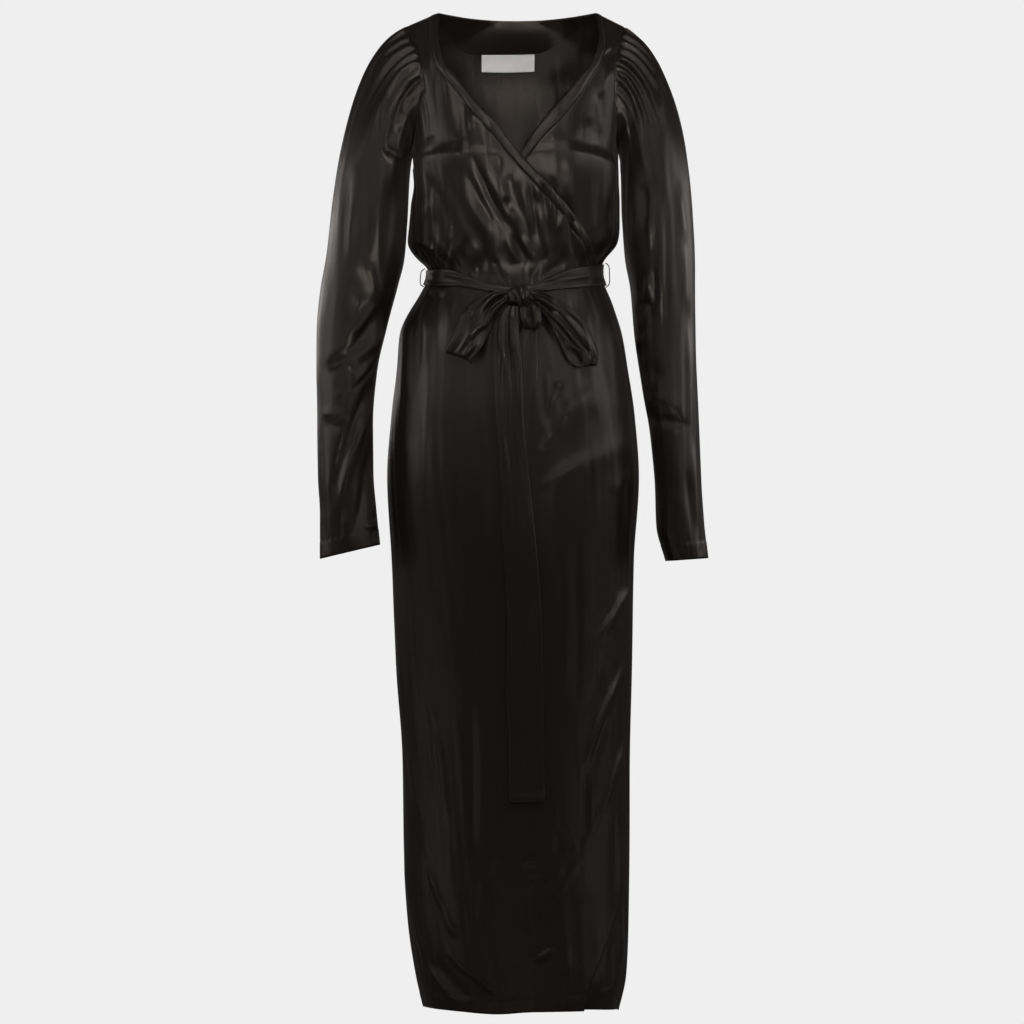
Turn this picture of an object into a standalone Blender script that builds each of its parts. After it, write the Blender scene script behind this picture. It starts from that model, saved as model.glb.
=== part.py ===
"""Long wrap dress with gathered sleeve heads and a tie belt, filled out as when it is worn.

Frame: metres, +Z up, the front faces -Y, the wearer's left is +X. The origin is where the
shoulders hold the dress. All tables and sizes below are in millimetres. A drop is a depth
below the origin, an angle runs round the body from the wearer's left side seam (0) over the
front or the back to the right side seam (180 degrees).
"""

import math

import bpy
import numpy as np

MM = 0.001
RIGHT, LEFT = -1, 1
FRONT, BACK = -1, 1

# Cloth and seams
WALL = 1.2
RIBBON = 1.0
SEAM = 0.5
SHOULDER_TIP_DROP = 10.0
UNDERARM_DROP = 192.0
SIDE_WAIST_DROP = 365.0
NECK_POINT_DROP = -10.0
NECK_RIGHT, NECK_LEFT = -109.0, 115.0
NECK_RISE_INWARD = 0.6
FRONT_RISE, BACK_RISE = 80.0, 60.0

# Levels of the layers, along the outward normal from the dress's own skin
UNDER_LEVEL = -3.0
UNDER_WAIST_LEVEL = -2.2
COVERED_LEVEL = -0.8
LINING_SPREAD = 1.7
FACING_LEVEL = -2.1
BELT_LEVEL = 3.45

# Half widths and depths of the body rings
RINGS = (
    # drop, right, left, front, back
    (-20, 160, 160, 66, 64),
    (10, 168, 168, 72, 70),
    (50, 168, 168, 86, 86),
    (94, 163, 165, 100, 98),
    (150, 151, 153, 114, 99),
    (192, 145, 146, 119, 97),
    (235, 142, 147, 117, 93),
    (264, 147, 148, 113, 90),
    (295, 150, 148, 108, 88),
    (317, 152, 145, 103, 87),
    (342, 136, 125, 96, 84),
    (353, 122, 121, 93, 82),
    (366, 122, 122, 92, 82),
    (376, 127, 126, 93, 84),
    (398, 139, 136, 96, 91),
    (412, 148, 141, 98, 97),
    (447, 163, 152, 103, 108),
    (493, 167, 160, 107, 118),
    (561, 175, 170, 110, 124),
    (650, 181, 176, 110, 123),
    (765, 175, 169, 107, 115),
    (909, 169, 166, 103, 106),
    (1045, 160, 163, 100, 101),
    (1210, 157, 162, 98, 97),
    (1281, 152, 161, 96, 95),
    (1355, 141, 158, 93, 92),
    (1410, 128, 146, 90, 88),
)

# Where the sleeve is sewn on, as a distance from the centre line on each side
ARMHOLE = (
    # drop, right, left
    (10, 155, 156),
    (30, 146, 149),
    (48, 136, 145),
    (67, 132, 143),
    (94, 130, 143),
    (116, 132, 144),
    (151, 138, 144.5),
    (180, 143.5, 145.6),
    (192, 145, 146),
)

# Edge of each front from the neck point to the waist, and its band's width along X
OVER_EDGE = (
    # drop, x, band
    (-10, -109, 11),
    (14, -110, 11),
    (62, -101, 12),
    (85, -83, 14),
    (114, -60, 15),
    (155, -24, 16),
    (197, 9, 16),
    (247, 53, 16),
    (294, 93, 15),
    (330, 112, 11),
    (362, 119, 9),
)
UNDER_EDGE = (
    # drop, x, band
    (-10, 115, 7),
    (26, 120, 8),
    (60, 113, 9),
    (78, 98, 14),
    (111, 70, 21),
    (141, 44, 22),
    (168, 24, 17),
    (193, 8, 13),
    (230, -24, 13),
    (271, -64, 13),
    (310, -95, 11),
    (366, -117, 8),
)

WAIST = (
    # x, drop
    (-124, 366),
    (-98, 367),
    (-77, 370),
    (-55, 377),
    (-37, 383),
    (5, 387),
    (43, 380),
    (65, 373),
    (84, 368),
    (124, 362),
)
HEM = (
    # x, drop
    (-128, 1400),
    (-78, 1403),
    (-27, 1406),
    (28, 1403),
    (98, 1403),
    (146, 1406),
)
# Free edge of the over skirt, on the wearer's left
WRAP_EDGE = (
    # drop, x
    (362, 116),
    (400, 130),
    (469, 149),
    (540, 159),
    (880, 161),
    (1179, 159),
    (1230, 156),
    (1264, 144),
    (1325, 122),
    (1365, 106),
    (1400, 97),
)

# Folds: ridges stand out (+), troughs lie in (-); bow is the bend of the line to its left side
BODICE_FOLDS = (
    # x0, drop0, x1, drop1, bow, width, height
    (-92, 199, -31, 330, 4, 13, 4.0),
    (-57, 196, 14, 352, -8, 11, -4.5),
    (-20, 215, 2, 330, -3, 9, 2.5),
    (30, 240, 26, 350, 4, 9, 3.5),
    (50, 275, 46, 350, 3, 8, 3.0),
    (76, 262, 82, 352, 3, 8, -4.0),
    (98, 290, 100, 350, 2, 8, 3.0),
    (-128, 225, -70, 345, 10, 12, 3.0),
    (-112, 262, -84, 352, 5, 9, -3.0),
    (60, 150, 120, 262, 8, 15, 3.0),
    (88, 128, 132, 215, 6, 11, -2.5),
    (-120, 60, -84, 165, 6, 13, -2.5),
)
BACK_BODICE_FOLDS = (
    # x0, drop0, x1, drop1, bow, width, height
    (-70, 120, -52, 352, 6, 12, 4.0),
    (-40, 150, -30, 355, 3, 10, -3.5),
    (-10, 170, -6, 356, 0, 10, 3.5),
    (22, 140, 20, 356, -3, 10, -3.0),
    (52, 50, 62, 352, -6, 11, 4.5),
    (84, 200, 76, 352, -5, 10, -3.5),
    (110, 170, 96, 345, -6, 12, 3.0),
    (-112, 180, -96, 345, 6, 12, -3.0),
)
SKIRT_FOLDS = (
    # x0, drop0, x1, drop1, bow, width, height
    (-150, 395, -150, 560, 2, 12, 4.0),
    (-118, 385, -122, 640, 4, 14, -4.0),
    (-88, 390, -84, 700, 4, 18, 3.0),
    (54, 585, 112, 522, -8, 14, 5.0),
    (76, 590, 126, 530, -8, 11, -4.5),
    (34, 676, 156, 596, 14, 15, 5.5),
    (60, 720, 158, 640, 12, 15, -3.5),
    (106, 900, 156, 815, 6, 15, 4.0),
    (100, 1068, 150, 930, 8, 14, 4.5),
    (86, 1190, 160, 1020, 10, 17, -4.0),
    (-60, 950, -56, 1260, 4, 20, -6.0),
    (-20, 880, -14, 1300, 4, 22, 4.5),
    (-104, 700, -96, 1160, 8, 20, 4.5),
    (-130, 1195, -60, 1385, 16, 13, 5.0),
    (-100, 1290, -34, 1385, 10, 12, -4.0),
    (30, 1180, 66, 1300, 4, 18, -4.0),
    (20, 1318, 62, 1330, 3, 12, 5.0),
    (4, 410, 8, 700, 0, 22, 2.5),
)
BACK_SKIRT_FOLDS = (
    # x0, drop0, x1, drop1, bow, width, height
    (-96, 400, -104, 760, 6, 18, 4.0),
    (-46, 500, -58, 1180, 8, 22, 5.0),
    (-10, 640, -22, 1390, 6, 22, -5.0),
    (40, 560, 34, 1250, -6, 22, 5.0),
    (92, 420, 100, 820, -6, 18, -4.0),
    (84, 900, 76, 1400, -6, 20, 4.5),
    (-110, 980, -96, 1400, 5, 20, -4.5),
    (0, 420, 0, 560, 0, 30, -3.0),
)
BUST_CREST_DROP = 190.0
BUST_APART = 74.0
BUST_RADIUS = 58.0
BUST_HEIGHT = 11.0

# Sleeve rings below the gathered head
SLEEVE_RIGHT = (
    # inner, outer: distances from the centre line; their drops; middle and half of the depth
    # inner, inner_drop, outer, outer_drop, middle, half
    (154, 285, 261, 275, 2, 62),
    (158, 337, 267, 332, 1, 60),
    (168, 380, 276, 384, -1, 57),
    (183, 435, 281, 440, -4, 52),
    (197, 500, 282, 500, -9, 49),
    (202, 570, 280, 570, -14, 46),
    (202, 640, 279, 644, -19, 43),
    (198, 694, 276, 706, -23, 41),
    (192, 745, 276, 765, -26, 39),
)
SLEEVE_LEFT = (
    # inner, inner_drop, outer, outer_drop, middle, half
    (153, 285, 252, 275, 2, 62),
    (157, 337, 255, 332, 1, 60),
    (165, 384, 256, 384, -1, 57),
    (170, 450, 257, 446, -4, 52),
    (181, 528, 259, 515, -9, 49),
    (192, 590, 261, 580, -14, 46),
    (199, 660, 263, 655, -19, 43),
    (201, 718, 267, 710, -23, 41),
    (214, 768, 273, 764, -26, 37),
)
# How each curve of the sleeve head leaves the armhole and meets the first ring, by where
# it starts: 0 is the underarm, 0.5 the middle of the front or back, 1 the shoulder tip
SLEEVE_HEAD = (
    # place, leave, puff, arrive
    (0.0, 0.28, 2.60, 0.80),
    (0.25, 0.46, 1.50, 0.90),
    (0.5, 0.60, 0.75, 1.05),
    (0.75, 0.68, 0.75, 1.20),
    (1.0, 0.70, 0.22, 1.30),
)
HEAD_STEPS = (0.0, 0.045, 0.11, 0.20, 0.33, 0.50, 0.72, 1.0)
GATHER_HEIGHT = 3.4
GATHER_FADE = (0.0, 0.75, 1.0, 1.0, 0.85, 0.6, 0.3, 0.0)
# Columns between one row of the armhole and the next, from the underarm to the shoulder tip
ARMHOLE_SPLITS = (2, 2, 3, 3, 3, 3, 3, 2)
ROWS_CROWD_UPWARDS = 1.25
SLEEVE_FOLDS = {
    RIGHT: (
        # x0, drop0, x1, drop1, bow, width, height
        (-192, 185, -194, 348, 3, 9, 4.0),
        (-224, 190, -236, 340, -4, 12, 4.0),
        (-208, 200, -214, 330, -2, 9, -3.5),
        (-170, 392, -262, 500, 8, 12, -5.5),
        (-190, 455, -258, 522, 6, 11, 5.0),
        (-198, 497, -258, 700, 12, 12, -5.0),
        (-208, 560, -242, 716, 8, 12, 4.5),
        (-218, 680, -222, 755, 0, 9, -3.5),
        (-172, 340, -204, 368, 3, 7, 3.0),
    ),
    LEFT: (
        # x0, drop0, x1, drop1, bow, width, height
        (190, 217, 189, 330, -5, 8, 4.0),
        (209, 150, 214, 423, -4, 11, 4.5),
        (230, 233, 242, 423, -4, 9, 4.0),
        (243, 430, 258, 740, -4, 9, 3.5),
        (180, 225, 190, 292, 0, 8, -4.5),
        (174, 372, 180, 497, -4, 8, 3.5),
        (190, 528, 224, 566, -5, 12, 5.0),
        (187, 552, 250, 580, 4, 8, -5.0),
        (210, 600, 222, 750, 3, 11, -3.0),
    ),
}

BACK_NECK_CENTRE_DROP = -3.0
# Lower edge of the facing inside the back neck
FACING_EDGE = (
    # x, drop
    (-109, 4),
    (-97, 16),
    (-80, 36),
    (-60, 44),
    (28, 43),
    (60, 30),
    (80, 18),
    (100, 9),
    (115, 4),
)
LABEL_FROM, LABEL_TO = -48.0, 28.0
LABEL_HEIGHT = 24.0
LABEL_WALL = 0.8

# The belt round the waist: its middle and half its width, front then back
BELT_FRONT = (
    # x, drop, half
    (-124, 366, 10),
    (-98, 367, 12),
    (-77, 370, 9.5),
    (-55, 377, 6.5),
    (-34, 383, 4.5),
    (5, 387, 4.5),
    (30, 383, 5.5),
    (43, 379, 8.5),
    (65, 372, 12),
    (84, 368, 14),
    (124, 362, 15),
)
BELT_BACK = (
    # x, drop, half
    (-124, 366, 10),
    (-70, 365, 16),
    (0, 364, 18),
    (70, 363, 17),
    (124, 362, 15),
)
BELT_WAVE = 0.7

# The knot: half its width, height and depth, and the creases that wind round it
KNOT_MIDDLE = (4.5, 394.5)
KNOT_HALF = (15.5, 14.5, 9.0)
KNOT_LIFT = 12.0
KNOT_RINGS, KNOT_COLUMNS = 10, 18
KNOT_SQUARENESS = 0.62
KNOT_CREASES, KNOT_CREASE_DEPTH, KNOT_CREASE_TWIST = 4, 0.10, 2.2

# Ribbons: each row is one line across, from its first to its second edge, with the lift of
# each edge off the skirt's front; crown bulges its middle away from the skirt
LOOP_RIGHT = (
    # x0, drop0, lift0, x1, drop1, lift1, crown
    (-10.7, 385, 13.5, -10.7, 401, 11.5, 1),
    (-33, 390, 17, -27, 419, 13, 5),
    (-55, 401, 18, -36, 446, 13, 6),
    (-72, 417, 18, -42, 458, 13, 6),
    (-84, 444, 17, -50, 472, 13, 5),
    (-96, 470, 14, -61, 484, 12, 2),
    (-97, 474, 10.5, -61, 488, 9.5, 0.5),
    (-92, 464, 6.5, -56, 476, 6.5, 0),
    (-78, 436, 5.5, -46, 458, 5.5, 0),
    (-58, 410, 5.5, -36, 432, 5.5, 0),
    (-34, 397, 6.5, -28, 411, 6.5, 0),
    (-13, 389, 8.4, -12.4, 398, 8, 0),
)
LOOP_LEFT = (
    # x0, drop0, lift0, x1, drop1, lift1, crown
    (19.6, 387, 13, 19.6, 400, 11, 1),
    (44, 392, 20, 38, 412, 12, 5),
    (62, 401, 24, 46, 430, 12, 6),
    (80, 417, 25, 58, 449, 13, 6),
    (98, 436, 24, 70, 468, 14, 5),
    (110, 462, 22, 80, 486, 15, 3),
    (112, 484, 18, 92, 496, 14, 1),
    (112, 489, 12, 93, 499, 9.5, 0),
    (108, 474, 7.5, 82, 488, 7, 0),
    (98, 446, 6, 72, 464, 6, 0),
    (80, 422, 6, 58, 440, 6, 0),
    (54, 402, 6.5, 42, 416, 6.5, 0),
    (22, 391, 8.4, 22, 398, 8, 0),
)
TAIL_FRONT = (
    # x0, drop0, lift0, x1, drop1, lift1, crown
    (-12, 409.2, 10, 4, 409.2, 13, 1),
    (-28, 429, 10, 5, 430, 17, 3),
    (-31, 458, 8.5, 6, 458, 17, 2),
    (-31, 486, 8, 9, 486, 15, 0),
    (-28, 516, 8, 10, 516, 12, -1),
    (-26, 570, 8, 12, 570, 10, -1),
    (-21, 636, 8, 18, 636, 9, 0),
    (-17, 740, 8, 29, 740, 8.5, 1),
    (-11, 859, 8, 38, 859, 8.5, 0.5),
    (-12, 946, 8, 40, 946, 8.5, 0),
    (-8, 1030, 8, 41, 1030, 8.5, 0.5),
    (-8, 1109, 8, 41.5, 1108, 8.5, 0),
)
TAIL_BACK = (
    # x0, drop0, lift0, x1, drop1, lift1, crown
    (7, 409.3, 11, 20, 408.2, 13, 1),
    (9, 424, 9, 36, 424, 21, 4),
    (6, 444, 6.5, 36, 440, 16, 3),
    (-6, 470, 5, 32, 470, 8, 1),
    (-18, 508, 4.2, 31, 508, 5, 0),
    (-23, 560, 4.2, 21, 560, 4.6, 0),
    (-20, 636, 4.2, 14, 636, 4.6, 0),
    (-15, 740, 4.2, 26, 740, 4.6, 0),
    (-10, 859, 4.2, 35, 859, 4.6, 0),
    (-10, 946, 4.2, 37, 946, 4.6, 0),
    (-6, 1030, 4.2, 38, 1030, 4.6, 0),
    (-6, 1102, 4.2, 38.5, 1101, 4.6, 0),
)

# The thread loops that hold the belt at the side seams: each is a staple over the belt
THREAD = 1.4
THREAD_PAST_BELT = 2.4
THREAD_SEAM_ANGLE = 2.0
# Lift of its upper end, where the bodice flares out at once, and of its lower end
THREAD_END_LIFTS = (4.2, 1.2)
THREAD_BULGE = 5.8
THREAD_SQUARENESS = 6
THREAD_STEPS = (-1.0, -0.96, -0.89, -0.76, -0.4, 0.0, 0.4, 0.76, 0.89, 0.96, 1.0)
SHOULDER_COLUMNS = 3
BACK_NECK_COLUMNS = 12

# name, linear RGB, roughness
SATIN = ("satin", (0.0125, 0.0105, 0.0090), 0.38)
LABEL_WHITE = ("label_white", (0.80, 0.80, 0.78), 0.70)


def clear_scene():
    for item in list(bpy.data.objects):
        bpy.data.objects.remove(item, do_unlink=True)


def column(table, index):
    return np.array([row[index] for row in table], float)


def smooth(at, places, values):
    """A curve through the given values that never swings past them."""
    steps = np.diff(places)
    slopes = np.diff(values) / steps
    tangents = np.zeros(len(values))
    same_way = slopes[1:] * slopes[:-1] > 0
    safe = np.where(same_way, slopes[1:] + slopes[:-1], 1.0)
    tangents[1:-1] = np.where(same_way, 2 * slopes[1:] * slopes[:-1] / safe, 0.0)
    tangents[0], tangents[-1] = slopes[0], slopes[-1]
    at = np.clip(at, places[0], places[-1])
    i = np.clip(np.searchsorted(places, at, side="right") - 1, 0, len(steps) - 1)
    t = (at - places[i]) / steps[i]
    rise = (1 + 2 * t) * (1 - t) ** 2 * values[i] + t * t * (3 - 2 * t) * values[i + 1]
    turn = t * (1 - t) ** 2 * tangents[i] - t * t * (1 - t) * tangents[i + 1]
    return rise + turn * steps[i]


def read(table, at, index):
    return smooth(np.asarray(at, float), column(table, 0), column(table, index))


def step(value, start, end):
    t = np.clip((value - start) / (end - start), 0.0, 1.0)
    return t * t * (3 - 2 * t)


def unit(vectors):
    return vectors / np.maximum(np.linalg.norm(vectors, axis=-1, keepdims=True), 1e-9)


def fold_relief(folds, x, drop, lining=False):
    """Height of the ridges and troughs at a place; a lining keeps below all of them."""
    height = np.zeros(np.broadcast(x, drop).shape)
    for x0, drop0, x1, drop1, bow, width, high in folds:
        if lining:
            high, width = min(high, 0.0), width * LINING_SPREAD
        length = math.hypot(x1 - x0, drop1 - drop0)
        along = ((x - x0) * (x1 - x0) + (drop - drop0) * (drop1 - drop0)) / length**2
        across = ((x - x0) * (drop1 - drop0) - (drop - drop0) * (x1 - x0)) / length
        across = across - bow * 4 * along * (1 - along)
        run = 0.25 if lining else 0.0
        ends = step(along, -0.02 - run, 0.22 - run) * step(along, 1.02 + run, 0.78 + run)
        height = height + high * ends * np.exp(-((across / width) ** 2))
    return height


def bust_relief(x, drop):
    shape = 0.0
    for side in (RIGHT, LEFT):
        away = ((x - side * BUST_APART) / BUST_RADIUS) ** 2
        away = away + ((drop - BUST_CREST_DROP) / (BUST_RADIUS * 0.95)) ** 2
        shape = shape + BUST_HEIGHT * np.exp(-away)
    return shape


def half_width(angle, drop):
    return np.where(np.cos(angle) < 0, read(RINGS, drop, 1), read(RINGS, drop, 2))


def shoulder_drop(x):
    """Height of the shoulders' ridge line, which runs on upwards inside the neck."""
    neck = np.where(x < 0, -NECK_RIGHT, NECK_LEFT)
    slope = (SHOULDER_TIP_DROP - NECK_POINT_DROP) / (155.5 - neck)
    outside = np.abs(x) - neck
    return NECK_POINT_DROP + np.where(outside > 0, slope, NECK_RISE_INWARD) * outside


def skin_point(face, angle, drop, covered_by_over=0.0):
    half = half_width(angle, drop)
    x = half * np.cos(angle)
    depth = read(RINGS, drop, 3 if face == FRONT else 4)
    rise = FRONT_RISE if face == FRONT else BACK_RISE
    covered = np.clip((drop - shoulder_drop(x)) / rise, 0.0, 1.0)
    ease = 1 - (1 - covered) ** 2
    y = face * depth * ease * np.sin(angle)
    out_x = depth * np.cos(angle)
    out_y = face * half * np.abs(np.sin(angle))
    if face == FRONT:
        folds = BODICE_FOLDS + SKIRT_FOLDS
        relief = bust_relief(x, drop) + fold_relief(folds, x, drop) * (1 - covered_by_over)
        if np.any(covered_by_over):
            relief = relief + fold_relief(folds, x, drop, True) * covered_by_over
    else:
        relief = fold_relief(BACK_BODICE_FOLDS + BACK_SKIRT_FOLDS, x, drop)
    relief = relief * step(np.abs(np.sin(angle)), 0.0, 0.3) * ease
    relief = relief / np.hypot(out_x, out_y)
    return np.stack([x + out_x * relief, y + out_y * relief, -drop + 0 * x], axis=-1)


def skin(face, angle, drop, under=0.0):
    """Points of the dress's own skin and their outward normals."""
    angle, drop = np.broadcast_arrays(np.asarray(angle, float), np.asarray(drop, float))
    turn, sink = 0.02, 2.0
    before, after = (skin_point(face, angle + way * turn, drop, under) for way in (-1, 1))
    above, beneath = (skin_point(face, angle, drop + way * sink, under) for way in (-1, 1))
    normals = unit(-face * np.cross(after - before, beneath - above))
    point = skin_point(face, angle, drop, under)
    # At the shoulder seam both sides share one direction, straight away from the ridge
    below = drop - shoulder_drop(point[..., 0])
    normals[..., 1] *= step(below, -1.0, 18.0)
    return point, unit(normals)


def angle_at(x, drop):
    half = np.where(x < 0, read(RINGS, drop, 1), read(RINGS, drop, 2))
    return np.arccos(np.clip(x / half, -1.0, 1.0))


def front_y(x, drop):
    """Depth of the front at a place seen from the front."""
    return skin_point(FRONT, angle_at(x, drop), drop)[..., 1]


def pull_in(points, amount):
    """Moves the four edges of a grid inwards along its own surface."""
    rows, columns = slice(None), slice(None)
    for edge, beside in (((0, columns), (1, columns)), ((-1, columns), (-2, columns)),
                         ((rows, 0), (rows, 1)), ((rows, -1), (rows, -2))):
        points[edge] += unit(points[beside] - points[edge]) * amount
    return points


def add_object(name, points, faces, material):
    mesh = bpy.data.meshes.new(name)
    mesh.from_pydata((points * MM).tolist(), [], faces)
    mesh.materials.append(material)
    mesh.update()
    mesh.shade_smooth()
    mesh.set_sharp_from_angle(angle=math.radians(50))
    item = bpy.data.objects.new(name, mesh)
    bpy.context.scene.collection.objects.link(item)
    return item


def wall(name, outer, inner, material, closed=False):
    """One closed wall between an outer and an inner grid of rows and columns."""
    rows, columns = outer.shape[:2]
    count = rows * columns
    points = np.concatenate([outer.reshape(-1, 3), inner.reshape(-1, 3)])
    spans = columns if closed else columns - 1
    faces = []
    for i in range(rows - 1):
        for j in range(spans):
            k = (j + 1) % columns
            a, b = i * columns + j, i * columns + k
            c, d = b + columns, a + columns
            # Both faces of the wall are split along the same, shorter diagonal
            if np.linalg.norm(points[a] - points[c]) < np.linalg.norm(points[b] - points[d]):
                halves = ((a, b, c), (a, c, d))
            else:
                halves = ((a, b, d), (b, c, d))
            for half in halves:
                faces.append(half)
                faces.append(tuple(corner + count for corner in reversed(half)))
    last = (rows - 1) * columns
    for j in range(spans):
        k = (j + 1) % columns
        faces.append((j + count, k + count, k, j))
        faces.append((last + j, last + k, last + k + count, last + j + count))
    if not closed:
        for i in range(rows - 1):
            a, b = i * columns, (i + 1) * columns
            c, d = a + columns - 1, b + columns - 1
            faces.append((a, b, b + count, a + count))
            faces.append((c + count, d + count, d, c))
    if signed_volume(points, faces) < 0:
        faces = [face[::-1] for face in faces]
    return add_object(name, points, faces, material)


def signed_volume(points, faces):
    total = 0.0
    for face in faces:
        origin = points[face[0]]
        for a, b in zip(face[1:-1], face[2:]):
            total += np.dot(origin, np.cross(points[a], points[b]))
    return total


def panel(name, face, angles, drops, material, level=0.0, relief=0.0, under=0.0):
    """A cloth panel on the body: a grid of places, its level and its wall."""
    points, normals = skin(face, angles, drops, under)
    middle = points + normals * (level + relief + 0.0 * angles)[..., None]
    facets = unit(np.cross(np.gradient(middle, axis=1), np.gradient(middle, axis=0)))
    facets = facets * np.sign(np.sum(facets * normals, axis=-1, keepdims=True))
    normals[1:-1, 1:-1] = facets[1:-1, 1:-1]
    cloth(name, middle, normals, material, WALL)
    return middle, normals


def cloth(name, middle, normals, material, thick):
    outer = pull_in(middle + normals * thick / 2, SEAM / 2)
    inner = pull_in(middle - normals * thick / 2, SEAM / 2)
    wall(name, outer, inner, material)


def on_grid(grid, row, column_at):
    """Points between the rows and columns of a grid, on its own facets."""
    i = np.clip(np.floor(row).astype(int), 0, grid.shape[0] - 2)
    j = np.clip(np.floor(column_at).astype(int), 0, grid.shape[1] - 2)
    down, over = (row - i)[..., None], (column_at - j)[..., None]
    upper = grid[i, j] * (1 - over) + grid[i, j + 1] * over
    lower = grid[i + 1, j] * (1 - over) + grid[i + 1, j + 1] * over
    return upper * (1 - down) + lower * down


def bodice_rows():
    share = (UNDERARM_DROP - SHOULDER_TIP_DROP) / (SIDE_WAIST_DROP - SHOULDER_TIP_DROP)
    above = share * np.linspace(0.0, 1.0, len(ARMHOLE_SPLITS) + 1) ** ROWS_CROWD_UPWARDS
    below = share + (1 - share) * np.array([0.2, 0.4, 0.58, 0.73, 0.87, 0.94, 1.0])
    return np.concatenate([above, below])


def side_edge(side, rows):
    """Angles and drops down the armhole and then the side seam."""
    drops = SHOULDER_TIP_DROP + (SIDE_WAIST_DROP - SHOULDER_TIP_DROP) * rows
    x = side * read(ARMHOLE, drops, 1 if side == RIGHT else 2)
    angles = angle_at(x, drops)
    seam = math.pi if side == RIGHT else 0.0
    angles[drops >= UNDERARM_DROP - 0.01] = seam
    return angles, drops


def neck_edge(table, rows, inset):
    """Angles and drops down a front's neck edge, or down its band's seam."""
    last = table[-1][0]
    drops = NECK_POINT_DROP + (last - NECK_POINT_DROP) * rows
    side = -1 if table[0][1] < 0 else 1
    x = read(table, drops, 1) + side * inset * read(table, drops, 2)
    return angle_at(x, drops), drops


def waist_drop(face, x):
    """The waist seam: it dips to the knot in front and runs level behind."""
    if face == FRONT:
        return smooth(x, column(WAIST, 0), column(WAIST, 1))
    return 364.0 - 2.0 * x / 124.0


def fit_ends(face, angles, drops, rows, top_drop):
    """Bends the first row on to the shoulder or neck line and the last on to the waist."""
    fraction = rows[:, None]
    for _ in range(3):
        x = half_width(angles, drops) * np.cos(angles)
        top = top_drop(x[0]) - drops[0]
        bottom = waist_drop(face, x[-1]) - drops[-1]
        drops = drops + top * (1 - fraction) ** 3 + bottom * fraction**2
    return drops


def zigzag(columns, rows, height, start):
    """Small gathers at the waist: every other column stands out."""
    wave = np.where(np.arange(columns) % 2 == 0, 1.0, -1.0)
    wave[[0, 1, -2, -1]] = 0.0
    swell = step(rows, start, 0.88) * (1 - 0.8 * step(rows, 0.9, 1.0))
    return height * swell[:, None] * wave[None, :]


def front_bodice(name, band_name, table, side, columns, level, material, gather):
    rows = bodice_rows()
    in_angles, in_drops = neck_edge(table, rows, 1.0)
    out_angles, out_drops = side_edge(side, rows)
    across = np.linspace(0.0, 1.0, columns)[None, :]
    angles = in_angles[:, None] * (1 - across) + out_angles[:, None] * across
    drops = in_drops[:, None] * (1 - across) + out_drops[:, None] * across
    drops = fit_ends(FRONT, angles, drops, rows, shoulder_drop)
    levels, covered = level(angles, drops, rows[:, None])
    relief = zigzag(columns, rows, gather, 0.72)
    middle, normals = panel(name, FRONT, angles, drops, material, levels, relief, covered)
    edge_angles, edge_drops = neck_edge(table, rows, 0.0)
    band = np.linspace(0.0, 1.0, 3)[None, :]
    band_angles = edge_angles[:, None] * (1 - band) + angles[:, :1] * band
    band_drops = edge_drops[:, None] * (1 - band) + drops[:, :1] * band
    levels, covered = level(band_angles, band_drops, rows[:, None])
    panel(band_name, FRONT, band_angles, band_drops, material, levels, 0.0, covered)
    return middle[:, -1], normals[:, -1]


def over_level(angles, drops, rows):
    return 0.0 * angles, 0.0 * angles


def under_level(angles, drops, rows):
    """The under front sinks below the over front away from its own seams."""
    inside = step(angles, 0.0, math.radians(13)) * step(rows, 0.0, 0.30)
    levels = inside * (UNDER_LEVEL + UNDER_WAIST_LEVEL * step(rows, 0.70, 0.95))
    edge = smooth(drops, column(OVER_EDGE, 0), column(OVER_EDGE, 1))
    x = half_width(angles, drops) * np.cos(angles)
    return levels, step(x - edge, 22.0, 2.0)


def back_neck_drop(x):
    near = np.where(x < 0, x / NECK_RIGHT, x / NECK_LEFT)
    return BACK_NECK_CENTRE_DROP + (NECK_POINT_DROP - BACK_NECK_CENTRE_DROP) * near**2


def back_top_drop(x):
    """The top of the back: the shoulder lines with the neck's curve between them."""
    inside = (x > NECK_RIGHT + 0.5) & (x < NECK_LEFT - 0.5)
    return np.where(inside, back_neck_drop(x), shoulder_drop(x))


def back_bodice(material):
    rows = bodice_rows()
    left_angles, left_drops = side_edge(LEFT, rows)
    right_angles, right_drops = side_edge(RIGHT, rows)
    neck_points = angle_at(np.array([NECK_LEFT, NECK_RIGHT]), NECK_POINT_DROP)
    neck = (neck_points - left_angles[0]) / (right_angles[0] - left_angles[0])
    across = np.concatenate([
        np.linspace(0, neck[0], SHOULDER_COLUMNS + 1),
        np.linspace(neck[0], neck[1], BACK_NECK_COLUMNS + 1)[1:],
        np.linspace(neck[1], 1, SHOULDER_COLUMNS + 1)[1:],
    ])[None, :]
    angles = left_angles[:, None] * (1 - across) + right_angles[:, None] * across
    drops = left_drops[:, None] * (1 - across) + right_drops[:, None] * across
    drops = fit_ends(BACK, angles, drops, rows, back_top_drop)
    relief = zigzag(across.shape[1], rows, 1.5, 0.78)
    return panel("bodice_back", BACK, angles, drops, material, 0.0, relief)


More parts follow.
